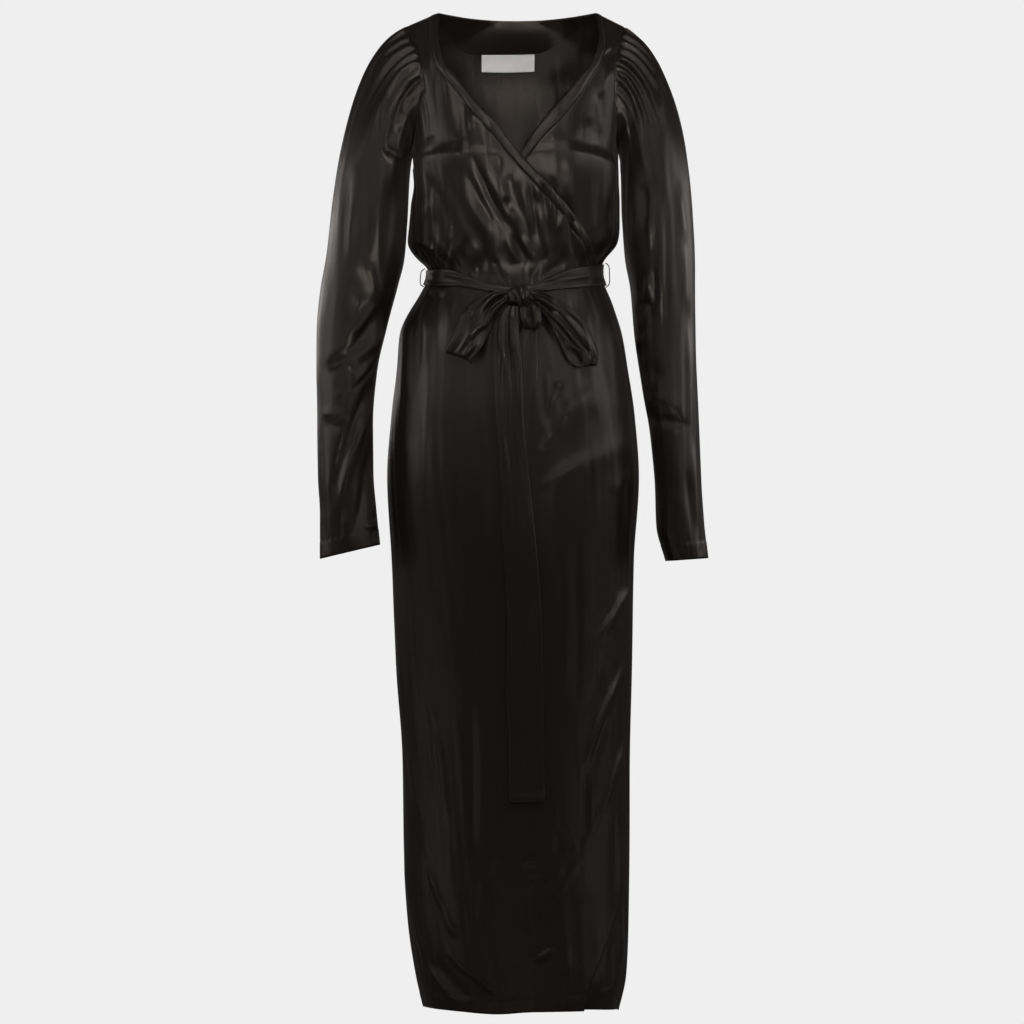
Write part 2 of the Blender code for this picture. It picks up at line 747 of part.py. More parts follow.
def back_neck(middle, normals, material, label_material):
    """The facing round the inside of the back neck, and the bare label that hangs from it.

    Both are made from the back's own points, moved inwards.
    """
    columns = np.linspace(SHOULDER_COLUMNS + 0.1, SHOULDER_COLUMNS + BACK_NECK_COLUMNS - 0.1,
                          BACK_NECK_COLUMNS + 1)
    low = low_rows(middle, columns, 0.0)
    rows = np.array([0.0, 0.25, 0.5, 0.75, 1.0])[:, None] * low
    lay_inside("back_neck_facing", middle, normals, rows, columns, material, FACING_LEVEL, WALL)
    x_of_columns = -middle[3, :, 0]
    first, last = np.interp([-LABEL_TO, -LABEL_FROM], x_of_columns, np.arange(middle.shape[1]))
    columns = np.linspace(first, last, 8)
    low = low_rows(middle, columns, SEAM)
    end = low_rows(middle, columns, SEAM + LABEL_HEIGHT)
    rows = low + (end - low) * np.array([0.0, 0.5, 1.0])[:, None]
    lay_inside("label", middle, normals, rows, columns, label_material, FACING_LEVEL, LABEL_WALL)


def low_rows(middle, columns, beyond):
    """Row of the back at which the facing's lower edge lies, for each column."""
    line = on_grid(middle, np.arange(8.0)[:, None] + 0 * columns, columns + np.zeros((8, 1)))
    low = smooth(line[2, :, 0], column(FACING_EDGE, 0), column(FACING_EDGE, 1)) + beyond
    return np.array([np.interp(low[k], -line[:, k, 2], np.arange(8.0)) for k in range(len(columns))])


def lay_inside(name, middle, normals, rows, columns, material, level, thick):
    spread = columns + 0 * rows
    points = on_grid(middle, rows, spread)
    outward = unit(on_grid(normals, rows, spread))
    cloth(name, points + outward * level, outward, material, thick)


def skirt_rows(count):
    even = np.linspace(0.0, 1.0, count)
    return even - 0.055 * np.sin(2 * math.pi * even)


def skirt_drops(face, angles, rows, short=0.0):
    """Drops of a skirt panel's grid, from the waist line to the hem."""
    drops = np.full(angles.shape, 400.0)
    for _ in range(4):
        x = half_width(angles, drops) * np.cos(angles)
        top = waist_drop(face, x[:1])
        bottom = smooth(x[-1:], column(HEM, 0), column(HEM, 1)) - short
        drops = top * (1 - rows[:, None]) + bottom * rows[:, None]
    return drops


def skirt(material):
    rows = skirt_rows(21)
    drops = 366.0 + (1403.0 - 366.0) * rows
    edge = angle_at(smooth(drops, column(WRAP_EDGE, 0), column(WRAP_EDGE, 1)), drops)
    across = np.linspace(0.0, 1.0, 23)[None, :]
    angles = edge[:, None] * (1 - across) + math.pi * across
    panel("skirt_front_over", FRONT, angles, skirt_drops(FRONT, angles, rows), material)

    rows = skirt_rows(17)
    across = np.linspace(0.0, 1.0, 15)[None, :]
    drops = 366.0 + (1403.0 - 366.0) * rows
    far_edge = angle_at(UNDER_EDGE[-1][1] + UNDER_EDGE[-1][2], drops)
    angles = far_edge[:, None] * across
    drops = skirt_drops(FRONT, angles, rows, 2.0)
    edge = smooth(drops, column(WRAP_EDGE, 0), column(WRAP_EDGE, 1))
    covered = step(half_width(angles, drops) * np.cos(angles) - edge, 16.0, 0.0)
    inside = step(angles, 0.0, math.radians(13))
    level = inside * (UNDER_LEVEL + UNDER_WAIST_LEVEL * step(rows, 0.12, 0.0)[:, None])
    level = level + COVERED_LEVEL * covered * step(rows, 0.12, 0.25)[:, None]
    panel("skirt_front_under", FRONT, angles, drops, material, level, 0.0, covered)

    rows = skirt_rows(19)
    angles = np.full((len(rows), 1), math.pi) * np.linspace(0.0, 1.0, 19)[None, :]
    panel("skirt_back", BACK, angles, skirt_drops(BACK, angles, rows), material)


def armhole_loop(side, front, back):
    """The armhole from the underarm up the front and down the back.

    Gives its points, the bodice's normals there, the way off the bodice's edge, and each
    point's place from the underarm (0) to the shoulder tip (1).
    """
    count = len(ARMHOLE_SPLITS)
    pieces = []
    for up, down in zip(front, back):
        path = np.concatenate([up[count::-1], down[1:count]])
        fine = []
        for i, split in enumerate(ARMHOLE_SPLITS + ARMHOLE_SPLITS[::-1]):
            after = path[(i + 1) % len(path)]
            fine += [path[i] + (after - path[i]) * k / split for k in range(split)]
        pieces.append(np.array(fine))
    points, normals = pieces[0], unit(pieces[1])
    along = unit(np.roll(points, -1, axis=0) - np.roll(points, 1, axis=0))
    off_edge = unit(side * np.cross(along, normals))
    total = sum(ARMHOLE_SPLITS)
    place = np.arange(2 * total) / total
    return points, normals, off_edge, np.where(place > 1, 2 - place, place)


def sleeve_rings(side, table, turn):
    """Points round each sleeve ring, turn 0 at the body, a quarter turn at the front."""
    rings = []
    for inner, inner_drop, outer, outer_drop, middle, half in table:
        share = (1 - np.cos(turn)) / 2
        x = side * (inner + (outer - inner) * share)
        drop = inner_drop + (outer_drop - inner_drop) * share
        y = middle - half * np.sin(turn)
        rings.append(np.stack([x, y, -drop], axis=-1))
    return np.array(rings)


def sleeve(name, side, table, front, back, material):
    start, start_normals, outward, place = armhole_loop(side, front, back)
    columns = len(start)
    turn = 2 * math.pi * np.arange(columns) / columns
    rings = sleeve_rings(side, table, turn)
    leave, puff, arrive = (read(SLEEVE_HEAD, place, k)[:, None] for k in (1, 2, 3))
    start = start + outward * SEAM / 2
    reach = np.linalg.norm(rings[0] - start, axis=1)[:, None]
    away = unit(outward + puff * start_normals) * leave * reach
    down = unit(rings[1] - rings[0]) * arrive * reach
    head = []
    for t in HEAD_STEPS:
        blend = (1 + 2 * t) * (1 - t) ** 2 * start + t * t * (3 - 2 * t) * rings[0]
        head.append(blend + t * (1 - t) ** 2 * away - t * t * (1 - t) * down)
    grid = np.concatenate([np.array(head), rings[1:]])
    normals = grid_normals(grid, np.array([side * 206.0, 0.0, -120.0]))
    normals[0] = start_normals
    rows = grid.shape[0]
    gather = np.zeros((rows, columns))
    wave = np.where(np.arange(columns) % 2 == 0, 1.0, -1.0) * step(place, 0.22, 0.42)
    for i, fade in enumerate(GATHER_FADE):
        gather[i] = GATHER_HEIGHT * fade * wave
    facing = -np.sign(normals[..., 1])
    relief = fold_relief(SLEEVE_FOLDS[side], grid[..., 0], -grid[..., 2])
    relief = relief * step(np.abs(normals[..., 1]), 0.1, 0.5) * np.where(facing > 0, 1.0, 0.7)
    relief[:4] *= np.array([0.0, 0.3, 0.6, 0.85])[:, None]
    relief[-1] *= 0.4
    middle = grid + normals * (gather + relief)[..., None]
    flank = grid_normals(middle, np.array([side * 206.0, 0.0, -120.0]))
    flank[0] = start_normals
    wall(name, middle + flank * WALL / 2, middle - flank * WALL / 2, material, closed=True)


def grid_normals(grid, inside):
    """Normals of a grid whose columns close in a ring, pointing away from its middle."""
    round_ring = np.roll(grid, -1, axis=1) - np.roll(grid, 1, axis=1)
    along = np.gradient(grid, axis=0)
    normals = unit(np.cross(round_ring, along))
    middle = grid.mean(axis=1, keepdims=True)
    if np.sum(normals * (grid - middle)) < 0:
        normals = -normals
    return normals


def belt(material):
    """The tie round the waist, narrowest where the knot gathers it."""
    front = np.linspace(0.0, math.pi, 27)
    back = np.linspace(math.pi, 2 * math.pi, 21)[1:-1]
    middle, normals = [], []
    across = np.array([-1.0, -0.35, 0.35, 1.0])
    for face, turns, table in ((FRONT, front, BELT_FRONT), (BACK, back, BELT_BACK)):
        angles = np.where(turns > math.pi, 2 * math.pi - turns, turns)
        x = half_width(angles, 366.0) * np.cos(angles)
        drops = read(table, x, 1)[None, :] + read(table, x, 2)[None, :] * across[:, None]
        points, outward = skin(face, angles[None, :] + 0 * drops, drops)
        wave = BELT_WAVE * np.array([0.0, 1.0, -0.3, 0.2])[:, None]
        level = BELT_LEVEL + wave * np.sin(2.2 * turns)[None, :] ** 2
        middle.append(points + outward * level[..., None])
        normals.append(outward)
    middle = np.concatenate(middle, axis=1)
    normals = np.concatenate(normals, axis=1)
    wall("belt", middle + normals * RIBBON / 2, middle - normals * RIBBON / 2, material, closed=True)


def knot(material):
    """The wrapped knot: a pillow with creases that wind round it."""
    x0, drop0 = KNOT_MIDDLE
    half_x, half_z, half_y = KNOT_HALF
    y0 = float(front_y(np.array(x0), np.array(drop0))) - KNOT_LIFT
    points = []
    for i in range(KNOT_RINGS):
        tilt = math.pi * (i + 0.5) / KNOT_RINGS
        spread = math.sin(tilt) ** KNOT_SQUARENESS
        for j in range(KNOT_COLUMNS):
            turn = 2 * math.pi * j / KNOT_COLUMNS
            winding = KNOT_CREASES * turn + KNOT_CREASE_TWIST * tilt
            out = spread * (1 + KNOT_CREASE_DEPTH * math.cos(winding) * math.sin(tilt))
            points.append((x0 + half_x * out * math.cos(turn), y0 + half_y * out * math.sin(turn),
                           -drop0 + half_z * math.cos(tilt)))
    points.append((x0, y0, -drop0 + half_z))
    points.append((x0, y0, -drop0 - half_z))
    top = KNOT_RINGS * KNOT_COLUMNS
    faces = []
    for j in range(KNOT_COLUMNS):
        k = (j + 1) % KNOT_COLUMNS
        last = (KNOT_RINGS - 1) * KNOT_COLUMNS
        faces.append((top, j, k))
        faces.append((top + 1, last + k, last + j))
        for i in range(KNOT_RINGS - 1):
            a, b = i * KNOT_COLUMNS + j, i * KNOT_COLUMNS + k
            faces.append((a, a + KNOT_COLUMNS, b + KNOT_COLUMNS, b))
    points = np.array(points)
    if signed_volume(points, faces) < 0:
        faces = [face[::-1] for face in faces]
    add_object("belt_knot", points, faces, material)


def ribbon(name, table, material, columns=5, between=2):
    """A tie end whose rows lie across it, off the front of the skirt."""
    rows = np.arange(len(table), dtype=float)
    fine = np.linspace(0, len(table) - 1, between * (len(table) - 1) + 1)
    data = np.array(table, float)
    values = [smooth(fine, rows, data[:, k]) for k in range(data.shape[1])]
    x0, drop0, lift0, x1, drop1, lift1, crown = (value[:, None] for value in values)
    across = np.linspace(0.0, 1.0, columns)[None, :]
    x = x0 * (1 - across) + x1 * across
    drop = drop0 * (1 - across) + drop1 * across
    lift = lift0 * (1 - across) + lift1 * across + crown * np.sin(math.pi * across)
    grid = np.stack([x, front_y(x, drop) - lift, -drop], axis=-1)
    normals = unit(np.cross(np.gradient(grid, axis=1), np.gradient(grid, axis=0)))
    wall(name, grid + normals * RIBBON / 2, grid - normals * RIBBON / 2, material)


def thread_loop(name, side, material):
    """A thread loop that stands over the belt on its side seam."""
    angle = math.radians(180 - THREAD_SEAM_ANGLE if side == RIGHT else THREAD_SEAM_ANGLE)
    belt_x = side * 122.0
    reach = float(read(BELT_FRONT, belt_x, 2)) + THREAD_PAST_BELT
    drops = float(read(BELT_FRONT, belt_x, 1)) + reach * np.array([-1.0, 0.0, 1.0])
    points, normals = skin(FRONT, angle + 0 * drops, drops)
    first = points[0] + normals[0] * THREAD_END_LIFTS[0]
    last = points[2] + normals[2] * THREAD_END_LIFTS[1]
    place = np.array(THREAD_STEPS)[:, None]
    path = first * (1 - place) / 2 + last * (1 + place) / 2
    path = path + normals[1] * THREAD_BULGE * (1 - place**THREAD_SQUARENESS)
    along = unit(np.gradient(path, axis=0))
    aside = unit(np.cross(along, normals[1]))
    out = unit(np.cross(aside, along))
    half = THREAD / 2
    middle = np.stack([path - aside * half, path + aside * half], axis=1)
    thick = out[:, None, :] * half
    wall(name, middle + thick, middle - thick, material)


def make_material(name, colour, roughness):
    material = bpy.data.materials.new(name)
    material.use_nodes = True
    shader = material.node_tree.nodes["Principled BSDF"]
    shader.inputs["Base Color"].default_value = (*colour, 1.0)
    shader.inputs["Roughness"].default_value = roughness
    shader.inputs["Metallic"].default_value = 0.0
    material.diffuse_color = (*colour, 1.0)
    return material


def build():
    clear_scene()
    satin = make_material(*SATIN)
    white = make_material(*LABEL_WHITE)
    over = front_bodice("bodice_front_over", "neck_band_over", OVER_EDGE, RIGHT, 21,
                        over_level, satin, 1.5)
    under = front_bodice("bodice_front_under", "neck_band_under", UNDER_EDGE, LEFT, 15,
                         under_level, satin, 0.0)
    middle, normals = back_bodice(satin)
    back_neck(middle, normals, satin, white)
    back_right, back_left = (middle[:, -1], normals[:, -1]), (middle[:, 0], normals[:, 0])
    sleeve("sleeve_right", RIGHT, SLEEVE_RIGHT, over, back_right, satin)
    sleeve("sleeve_left", LEFT, SLEEVE_LEFT, under, back_left, satin)
    skirt(satin)
    belt(satin)
    knot(satin)
    ribbon("bow_loop_right", LOOP_RIGHT, satin)
    ribbon("bow_loop_left", LOOP_LEFT, satin)
    ribbon("belt_tail_front", TAIL_FRONT, satin, 4)
    ribbon("belt_tail_back", TAIL_BACK, satin, 4, 1)
    thread_loop("belt_loop_right", RIGHT, satin)
    thread_loop("belt_loop_left", LEFT, satin)


build()
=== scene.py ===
"""The looks of a dark satin wrap dress: cloth, tie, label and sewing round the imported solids.

Every table and size below is in millimetres until a mesh is made, except where it says
metres. A drop is a depth below the shoulders, an angle runs round the body from the wearer's
left side seam (0) to the right one (180 degrees), over the front or over the back. The front
faces -Y. A pair of places is where something starts and where it is complete. Grids have
rows down the cloth and columns across it.
"""
import math

import bpy
import numpy as np
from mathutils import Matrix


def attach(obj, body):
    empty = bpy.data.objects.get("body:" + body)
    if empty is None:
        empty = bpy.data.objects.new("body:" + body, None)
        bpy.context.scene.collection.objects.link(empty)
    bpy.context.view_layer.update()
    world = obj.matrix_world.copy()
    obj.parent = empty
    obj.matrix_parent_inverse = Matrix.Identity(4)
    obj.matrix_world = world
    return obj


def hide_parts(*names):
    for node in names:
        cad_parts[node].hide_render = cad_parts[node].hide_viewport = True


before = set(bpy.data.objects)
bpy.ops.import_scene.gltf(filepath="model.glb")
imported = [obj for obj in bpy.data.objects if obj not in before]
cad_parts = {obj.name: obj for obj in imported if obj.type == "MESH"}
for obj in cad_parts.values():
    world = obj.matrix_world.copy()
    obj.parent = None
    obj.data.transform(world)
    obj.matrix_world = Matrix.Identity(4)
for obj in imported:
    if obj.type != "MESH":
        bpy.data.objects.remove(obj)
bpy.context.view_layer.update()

MM = 0.001
RIGHT, LEFT = -1, 1
FRONT, BACK = -1, 1

# Thickness of one layer of satin, of the folded tie and of the woven label
SATIN_THICK, TIE_THICK, LABEL_THICK = 0.7, 1.1, 0.5

SHOULDER_TIP_DROP = 10.0
UNDERARM_DROP = 192.0
SIDE_WAIST_DROP = 365.0
NECK_POINT_DROP = -10.0
NECK_RIGHT, NECK_LEFT = -109.0, 115.0
NECK_RISE_INWARD = 0.6
FRONT_RISE, BACK_RISE = 80.0, 60.0

# Levels of the layers, along the outward normal from the dress's own skin
UNDER_LEVEL = -3.0
UNDER_WAIST_LEVEL = -2.2
COVERED_LEVEL = -0.8
LINING_SPREAD = 1.7
BELT_LEVEL = 3.45

# Half widths and depths of the body rings
RINGS = (
    # drop, right, left, front, back
    (-20, 160, 160, 66, 64), (10, 168, 168, 72, 70), (50, 168, 168, 86, 86),
    (94, 163, 165, 100, 98), (150, 151, 153, 114, 99), (192, 145, 146, 119, 97),
    (235, 142, 147, 117, 93), (264, 147, 148, 113, 90), (295, 150, 148, 108, 88),
    (317, 152, 145, 103, 87), (342, 136, 125, 96, 84), (353, 122, 121, 93, 82),
    (366, 122, 122, 92, 82), (376, 127, 126, 93, 84), (398, 139, 136, 96, 91),
    (412, 148, 141, 98, 97), (447, 163, 152, 103, 108), (493, 167, 160, 107, 118),
    (561, 175, 170, 110, 124), (650, 181, 176, 110, 123), (765, 175, 169, 107, 115),
    (909, 169, 166, 103, 106), (1045, 160, 163, 100, 101), (1210, 157, 162, 98, 97),
    (1281, 152, 161, 96, 95), (1355, 141, 158, 93, 92), (1410, 128, 146, 90, 88),
)

# Where the sleeve is sewn on, as a distance from the centre line on each side
ARMHOLE = (
    # drop, right, left
    (10, 155, 156), (30, 146, 149), (48, 136, 145), (67, 132, 143), (94, 130, 143),
    (116, 132, 144), (151, 138, 144.5), (180, 143.5, 145.6), (192, 145, 146),
)

# Edge of each front from the neck point to the waist, and its band's width along X
OVER_EDGE = (
    # drop, x, band
    (-10, -109, 11), (14, -110, 11), (62, -101, 12), (85, -83, 14), (114, -60, 15), (155, -24, 16),
    (197, 9, 16), (247, 53, 16), (294, 93, 15), (330, 112, 11), (362, 119, 9),
)
UNDER_EDGE = (
    # drop, x, band
    (-10, 115, 7), (26, 120, 8), (60, 113, 9), (78, 98, 14), (111, 70, 21), (141, 44, 22),
    (168, 24, 17), (193, 8, 13), (230, -24, 13), (271, -64, 13), (310, -95, 11), (366, -117, 8),
)

WAIST = (
    # x, drop
    (-124, 366), (-98, 367), (-77, 370), (-55, 377), (-37, 383), (5, 387), (43, 380), (65, 373),
    (84, 368), (124, 362),
)
HEM = (
    # x, drop
    (-128, 1400), (-78, 1403), (-27, 1406), (28, 1403), (98, 1403), (146, 1406),
)
# Free edge of the over skirt, on the wearer's left
WRAP_EDGE = (
    # drop, x
    (362, 116), (400, 130), (469, 149), (540, 159), (880, 161), (1179, 159), (1230, 156),
    (1264, 144), (1325, 122), (1365, 106), (1400, 97),
)

BUST_CREST_DROP = 190.0
BUST_APART = 74.0
BUST_RADIUS = 58.0
BUST_HEIGHT = 11.0
BUST_FLATTENED = 0.95

# Sleeve rings below the gathered head: inner and outer distance from the centre line with
# their drops, and the middle and half of the depth
SLEEVE_RIGHT = (
    # inner, inner_drop, outer, outer_drop, middle, half
    (154, 285, 261, 275, 2, 62), (158, 337, 267, 332, 1, 60), (168, 380, 276, 384, -1, 57),
    (183, 435, 281, 440, -4, 52), (197, 500, 282, 500, -9, 49), (202, 570, 280, 570, -14, 46),
    (202, 640, 279, 644, -19, 43), (198, 694, 276, 706, -23, 41), (192, 745, 276, 765, -26, 39),
)
SLEEVE_LEFT = (
    # inner, inner_drop, outer, outer_drop, middle, half
    (153, 285, 252, 275, 2, 62), (157, 337, 255, 332, 1, 60), (165, 384, 256, 384, -1, 57),
    (170, 450, 257, 446, -4, 52), (181, 528, 259, 515, -9, 49), (192, 590, 261, 580, -14, 46),
    (199, 660, 263, 655, -19, 43), (201, 718, 267, 710, -23, 41), (214, 768, 273, 764, -26, 37),
)
# How each curve of the sleeve head leaves the armhole and meets the first ring, by where
# it starts: 0 is the underarm, 0.5 the middle of the front or back, 1 the shoulder tip
SLEEVE_HEAD = (
    # place, leave, puff, arrive
    (0, 0.28, 2.6, 0.8), (0.25, 0.46, 1.5, 0.9), (0.5, 0.6, 0.75, 1.05), (0.75, 0.68, 0.75, 1.2),
    (1, 0.7, 0.22, 1.3),
)
# Shares of a sleeve's columns between the rows of the armhole, underarm to shoulder tip
ARMHOLE_SPLITS = (2, 2, 3, 3, 3, 3, 3, 2)
ROWS_CROWD_UPWARDS = 1.25
BACK_NECK_CENTRE_DROP = -3.0
# Lower edge of the facing inside the back neck
FACING_EDGE = (
    # x, drop
    (-109, 4), (-97, 16), (-80, 36), (-60, 44), (28, 43), (60, 30), (80, 18), (100, 9), (115, 4),
)
LABEL_FROM, LABEL_TO = -48.0, 28.0
LABEL_HEIGHT = 24.0
# The belt round the waist: its middle and half its width, front then back
BELT_FRONT = (
    # x, drop, half
    (-124, 366, 10), (-98, 367, 12), (-77, 370, 9.5), (-55, 377, 6.5), (-34, 383, 4.5),
    (5, 387, 4.5), (30, 383, 5.5), (43, 379, 8.5), (65, 372, 12), (84, 368, 14), (124, 362, 15),
)
BELT_BACK = (
    # x, drop, half
    (-124, 366, 10), (-70, 365, 16), (0, 364, 18), (70, 363, 17), (124, 362, 15),
)
# The knot: half its width, height and depth, and the creases that wind round it
KNOT_MIDDLE = (4.5, 394.5)
KNOT_HALF = (15.5, 14.5, 9.0)
KNOT_LIFT = 12.0
KNOT_SQUARENESS = 0.62
KNOT_CREASES = (
    # place, width, depth
    (0.75, 0.1, 0.2), (1.25, 0.07, 0.26), (1.72, 0.09, 0.22), (2.3, 0.08, 0.24),
)

# Ribbons: each row is one line across, from its first to its second edge, with the lift of
# each edge off the skirt's front; crown bulges its middle away from the skirt
LOOP_RIGHT = (
    # x0, drop0, lift0, x1, drop1, lift1, crown
    (-10.7, 385, 13.5, -10.7, 401, 11.5, 1), (-33, 390, 17, -27, 419, 13, 5),
    (-55, 401, 18, -36, 446, 13, 6), (-72, 417, 18, -42, 458, 13, 6),
    (-84, 444, 17, -50, 472, 13, 5), (-96, 470, 14, -61, 484, 12, 2),
    (-97, 474, 10.5, -61, 488, 9.5, 0.5), (-92, 464, 6.5, -56, 476, 6.5, 0),
    (-78, 436, 5.5, -46, 458, 5.5, 0), (-58, 410, 5.5, -36, 432, 5.5, 0),
    (-34, 397, 6.5, -28, 411, 6.5, 0), (-13, 389, 8.4, -12.4, 398, 8, 0),
)
TAIL_FRONT = (
    # x0, drop0, lift0, x1, drop1, lift1, crown
    (-12, 409.2, 10, 4, 409.2, 13, 1), (-28, 429, 10, 5, 430, 17, 3),
    (-31, 458, 8.5, 6, 458, 17, 2), (-31, 486, 8, 9, 486, 15, 0), (-28, 516, 8, 10, 516, 12, -1),
    (-26, 570, 8, 12, 570, 10, -1), (-21, 636, 8, 18, 636, 9, 0), (-17, 740, 8, 29, 740, 8.5, 1),
    (-11, 859, 8, 38, 859, 8.5, 0.5), (-12, 946, 8, 40, 946, 8.5, 0),
    (-8, 1030, 8, 41, 1030, 8.5, 0.5), (-8, 1109, 8, 41.5, 1108, 8.5, 0),
)

# The thread loops that hold the belt at the side seams: each is a staple over the belt
THREAD_PAST_BELT = 2.4
THREAD_SEAM_ANGLE = 2.0
# Lift of its upper end, where the bodice flares out at once, and of its lower end
THREAD_END_LIFTS = (4.2, 1.2)
THREAD_BULGE = 5.8
THREAD_SQUARENESS = 6

RING_BLUR = 4.5
SEAM_DIP = 0.9
BAND_CROWN, BAND_ROLL = 0.5, 1.6
WRAP_LIFT = 1.3
HEM_DEPTH, CUFF_DEPTH = 22.0, 25.0
TIE_WIDTH = 52.0


# The left loop stands open: its front layer lies off its own back layer. The back tail hangs
# down in a small curl under the knot before it falls.
LOOP_LEFT = (
    # x0, drop0, lift0, x1, drop1, lift1, crown
    (19.6, 387, 13, 19.6, 400, 11, 1), (40, 390, 20, 33, 412, 12, 4),
    (60, 399, 24, 46, 428, 13, 5), (80, 414, 26, 58, 443, 15, 5), (99, 433, 26, 70, 457, 18, 4),
    (112, 457, 25, 80, 467, 20, 2), (117, 477, 22, 92, 473, 20, 1),
    (113, 491, 15, 97, 493, 14.5, 0), (106, 490, 8.5, 90, 495, 9, 0),
    (98, 466, 6.8, 75, 484, 7.2, 0), (84, 440, 6.3, 65, 464, 6.6, 0),
    (56, 408, 6.5, 46, 428, 6.5, 0), (22, 391, 8.4, 22, 398, 8, 0),
)
TAIL_BACK = (
    # x0, drop0, lift0, x1, drop1, lift1, crown
    (7, 404, 10, 25, 399, 12, 1), (7, 414, 16, 36, 411, 19, 4), (9, 429, 17.5, 37, 428, 19, 4),
    (13, 440, 14, 33, 441, 14.5, 2), (13, 437, 8.6, 33, 438, 8.8, 0),
    (8, 427, 6.4, 32, 427, 6.4, 0), (3, 440, 5, 31, 440, 5, 0), (-8, 470, 4.6, 32, 470, 4.8, 0),
    (-18, 508, 4.2, 31, 508, 5, 0), (-23, 560, 4.2, 21, 560, 4.6, 0),
    (-20, 636, 4.2, 14, 636, 4.6, 0), (-15, 740, 4.2, 26, 740, 4.6, 0),
    (-10, 859, 4.2, 35, 859, 4.6, 0), (-10, 946, 4.2, 37, 946, 4.6, 0),
    (-6, 1030, 4.2, 38, 1030, 4.6, 0), (-6, 1102, 4.2, 38.5, 1101, 4.6, 0),
)
# Creases of the tie's ends: across it from its first edge, and down it at 20 to a row
LOOP_RIGHT_CREASES = (
    # across0, down0, across1, down1, bow, width, height, lean
    (10, 4, 16, 46, 0, 4, 3.2, 0.2), (20, 2, 26, 48, 0, 4.5, -4.2), (33, 4, 30, 40, 0, 4, 2.6),
    (45, 8, 12, 96, 3, 5, 3.4, 0.3), (50, 20, 24, 98, 3, 5, -3), (8, 52, 13, 60, 0, 3.5, -3),
    (5, 48, 4, 66, 0, 3, 2.2), (20, 70, 14, 102, 0, 4, -2.6), (34, 76, 38, 104, 0, 4.5, 2.6),
    (44, 60, 46, 100, 0, 3.5, -2.4),
)
LOOP_LEFT_CREASES = (
    # across0, down0, across1, down1, bow, width, height, lean
    (8, 4, 6, 40, 0, 4.5, 3), (24, 6, 22, 44, 0, 6, -5.5, 0.2), (38, 6, 36, 44, 0, 4.5, 3.2),
    (14, 46, 18, 112, -2, 4, -3.6, 0.3), (24, 40, 28, 120, 2, 4.5, 3.8, 0.2),
    (34, 52, 36, 116, 0, 4, -3.2), (44, 44, 46, 112, 0, 3.5, 2.4), (5, 60, 4, 130, 0, 3.5, 2.2),
    (20, 96, 30, 128, 0, 3.5, 2.4),
)
TAIL_FRONT_CREASES = (
    # across0, down0, across1, down1, bow, width, height, lean
    (14, 2, 18, 60, 0, 5, 3, 0.2), (24, 4, 30, 80, 1, 5, -4.2, 0.3),
    (42, 2, 45, 96, 0, 3.6, 3.4, 0.4), (7, 20, 9, 90, 0, 4, -2), (17, 66, 14, 92, 0, 3, -1.8),
    (26, 70, 25, 108, 0, 3, 1.4), (12, 108, 13, 122, 0, 2.6, 1.4),
    (20, 112, 19, 124, 0, 2.6, -1.4), (47, 60, 48, 118, 0, 2.6, 1.2),
    (12, 150, 16, 172, 0, 5, 0.9), (34, 176, 30, 200, 0, 6, -0.9),
)
TAIL_BACK_CREASES = (
    # across0, down0, across1, down1, bow, width, height, lean
    (12, 2, 16, 56, 0, 4.5, 3), (24, 2, 26, 60, 0, 5, -4), (38, 2, 38, 60, 0, 4.5, 3),
    (46, 110, 44, 190, 0, 4, 1.2),
)

# Where and how each part of the cloth is shaped
SHOULDER_TIP_X, UNDERARM_ROUND = 155.5, 16.0
BACK_WAIST_DROP, BACK_WAIST_TILT, WAIST_HALF = 364.0, 2.0, 124.0
SKIRT_TOP, SKIRT_HEM, UNDER_SKIRT_SHORT = 366.0, 1403.0, 2.0
# Radii that turn an angle into a way round the body and the waist
BODY_RADIUS, WAIST_RADIUS = 165.0, 122.0
# How far off the side seams, as the sine of the angle, folds and bust have their full height
FOLDS_OFF_SIDE, BUST_OFF_SIDE = 0.22, 0.35
# The under front's sinking off the side seam and down its rows (0 top, 1 waist), and how far
# inside the edge of the layer above it counts as covered
SINK_ANGLE, UNDER_SINK_ROWS, UNDER_WAIST_ROWS = math.radians(13), 0.30, (0.70, 0.95)
UNDER_SKIRT_WAIST_ROWS, COVERED_SKIRT_ROWS = (0.12, 0.0), (0.12, 0.25)
BODICE_COVER, SKIRT_COVER = (22.0, 2.0), (14.0, 0.0)
# A covered layer keeps below the folds over it: they reach further and deeper there
LINING_STRENGTH, LINING_RUN = 1.15, 0.25
# Where a fold rises and where it dies away, as shares of its length
FOLD_START, FOLD_END = (-0.06, 0.36), (1.06, 0.64)

# Seeded ripples: size of their random table, and where the cloth starts on it
RIPPLE_TABLE, RIPPLE_START = 96, (31.0, 17.0)
# How folds vary in strength, wander sideways and wander lengthwise
FOLD_WANDER = (
    # seed, height, width, length
    (7, 0.22, 26.0, 60.0), (8, 0.9, 30.0, 42.0), (9, 1.4, 34.0, 38.0),
)
PANEL_WAVES = (
    # height, lean, width, length
    (1.0, 0.0, 21.0, 240.0), (0.60, 0.10, 9.5, 130.0), (0.20, 0.0, 5.5, 90.0),
)
SLEEVE_WAVES = (
    # height, lean, width, length
    (1.1, 0.0, 15.0, 170.0), (0.60, 0.08, 8.0, 90.0), (0.16, 0.0, 4.6, 50.0),
)
TIE_WAVES = (
    # height, lean, width, length
    (0.45, 0.0, 13.0, 120.0), (0.20, 0.0, 6.0, 80.0),
)
TIE_CREASES = (
    # how many across, length, height where the tie is squeezed
    (7.0, 70.0, 2.6), (13.0, 38.0, 1.1),
)
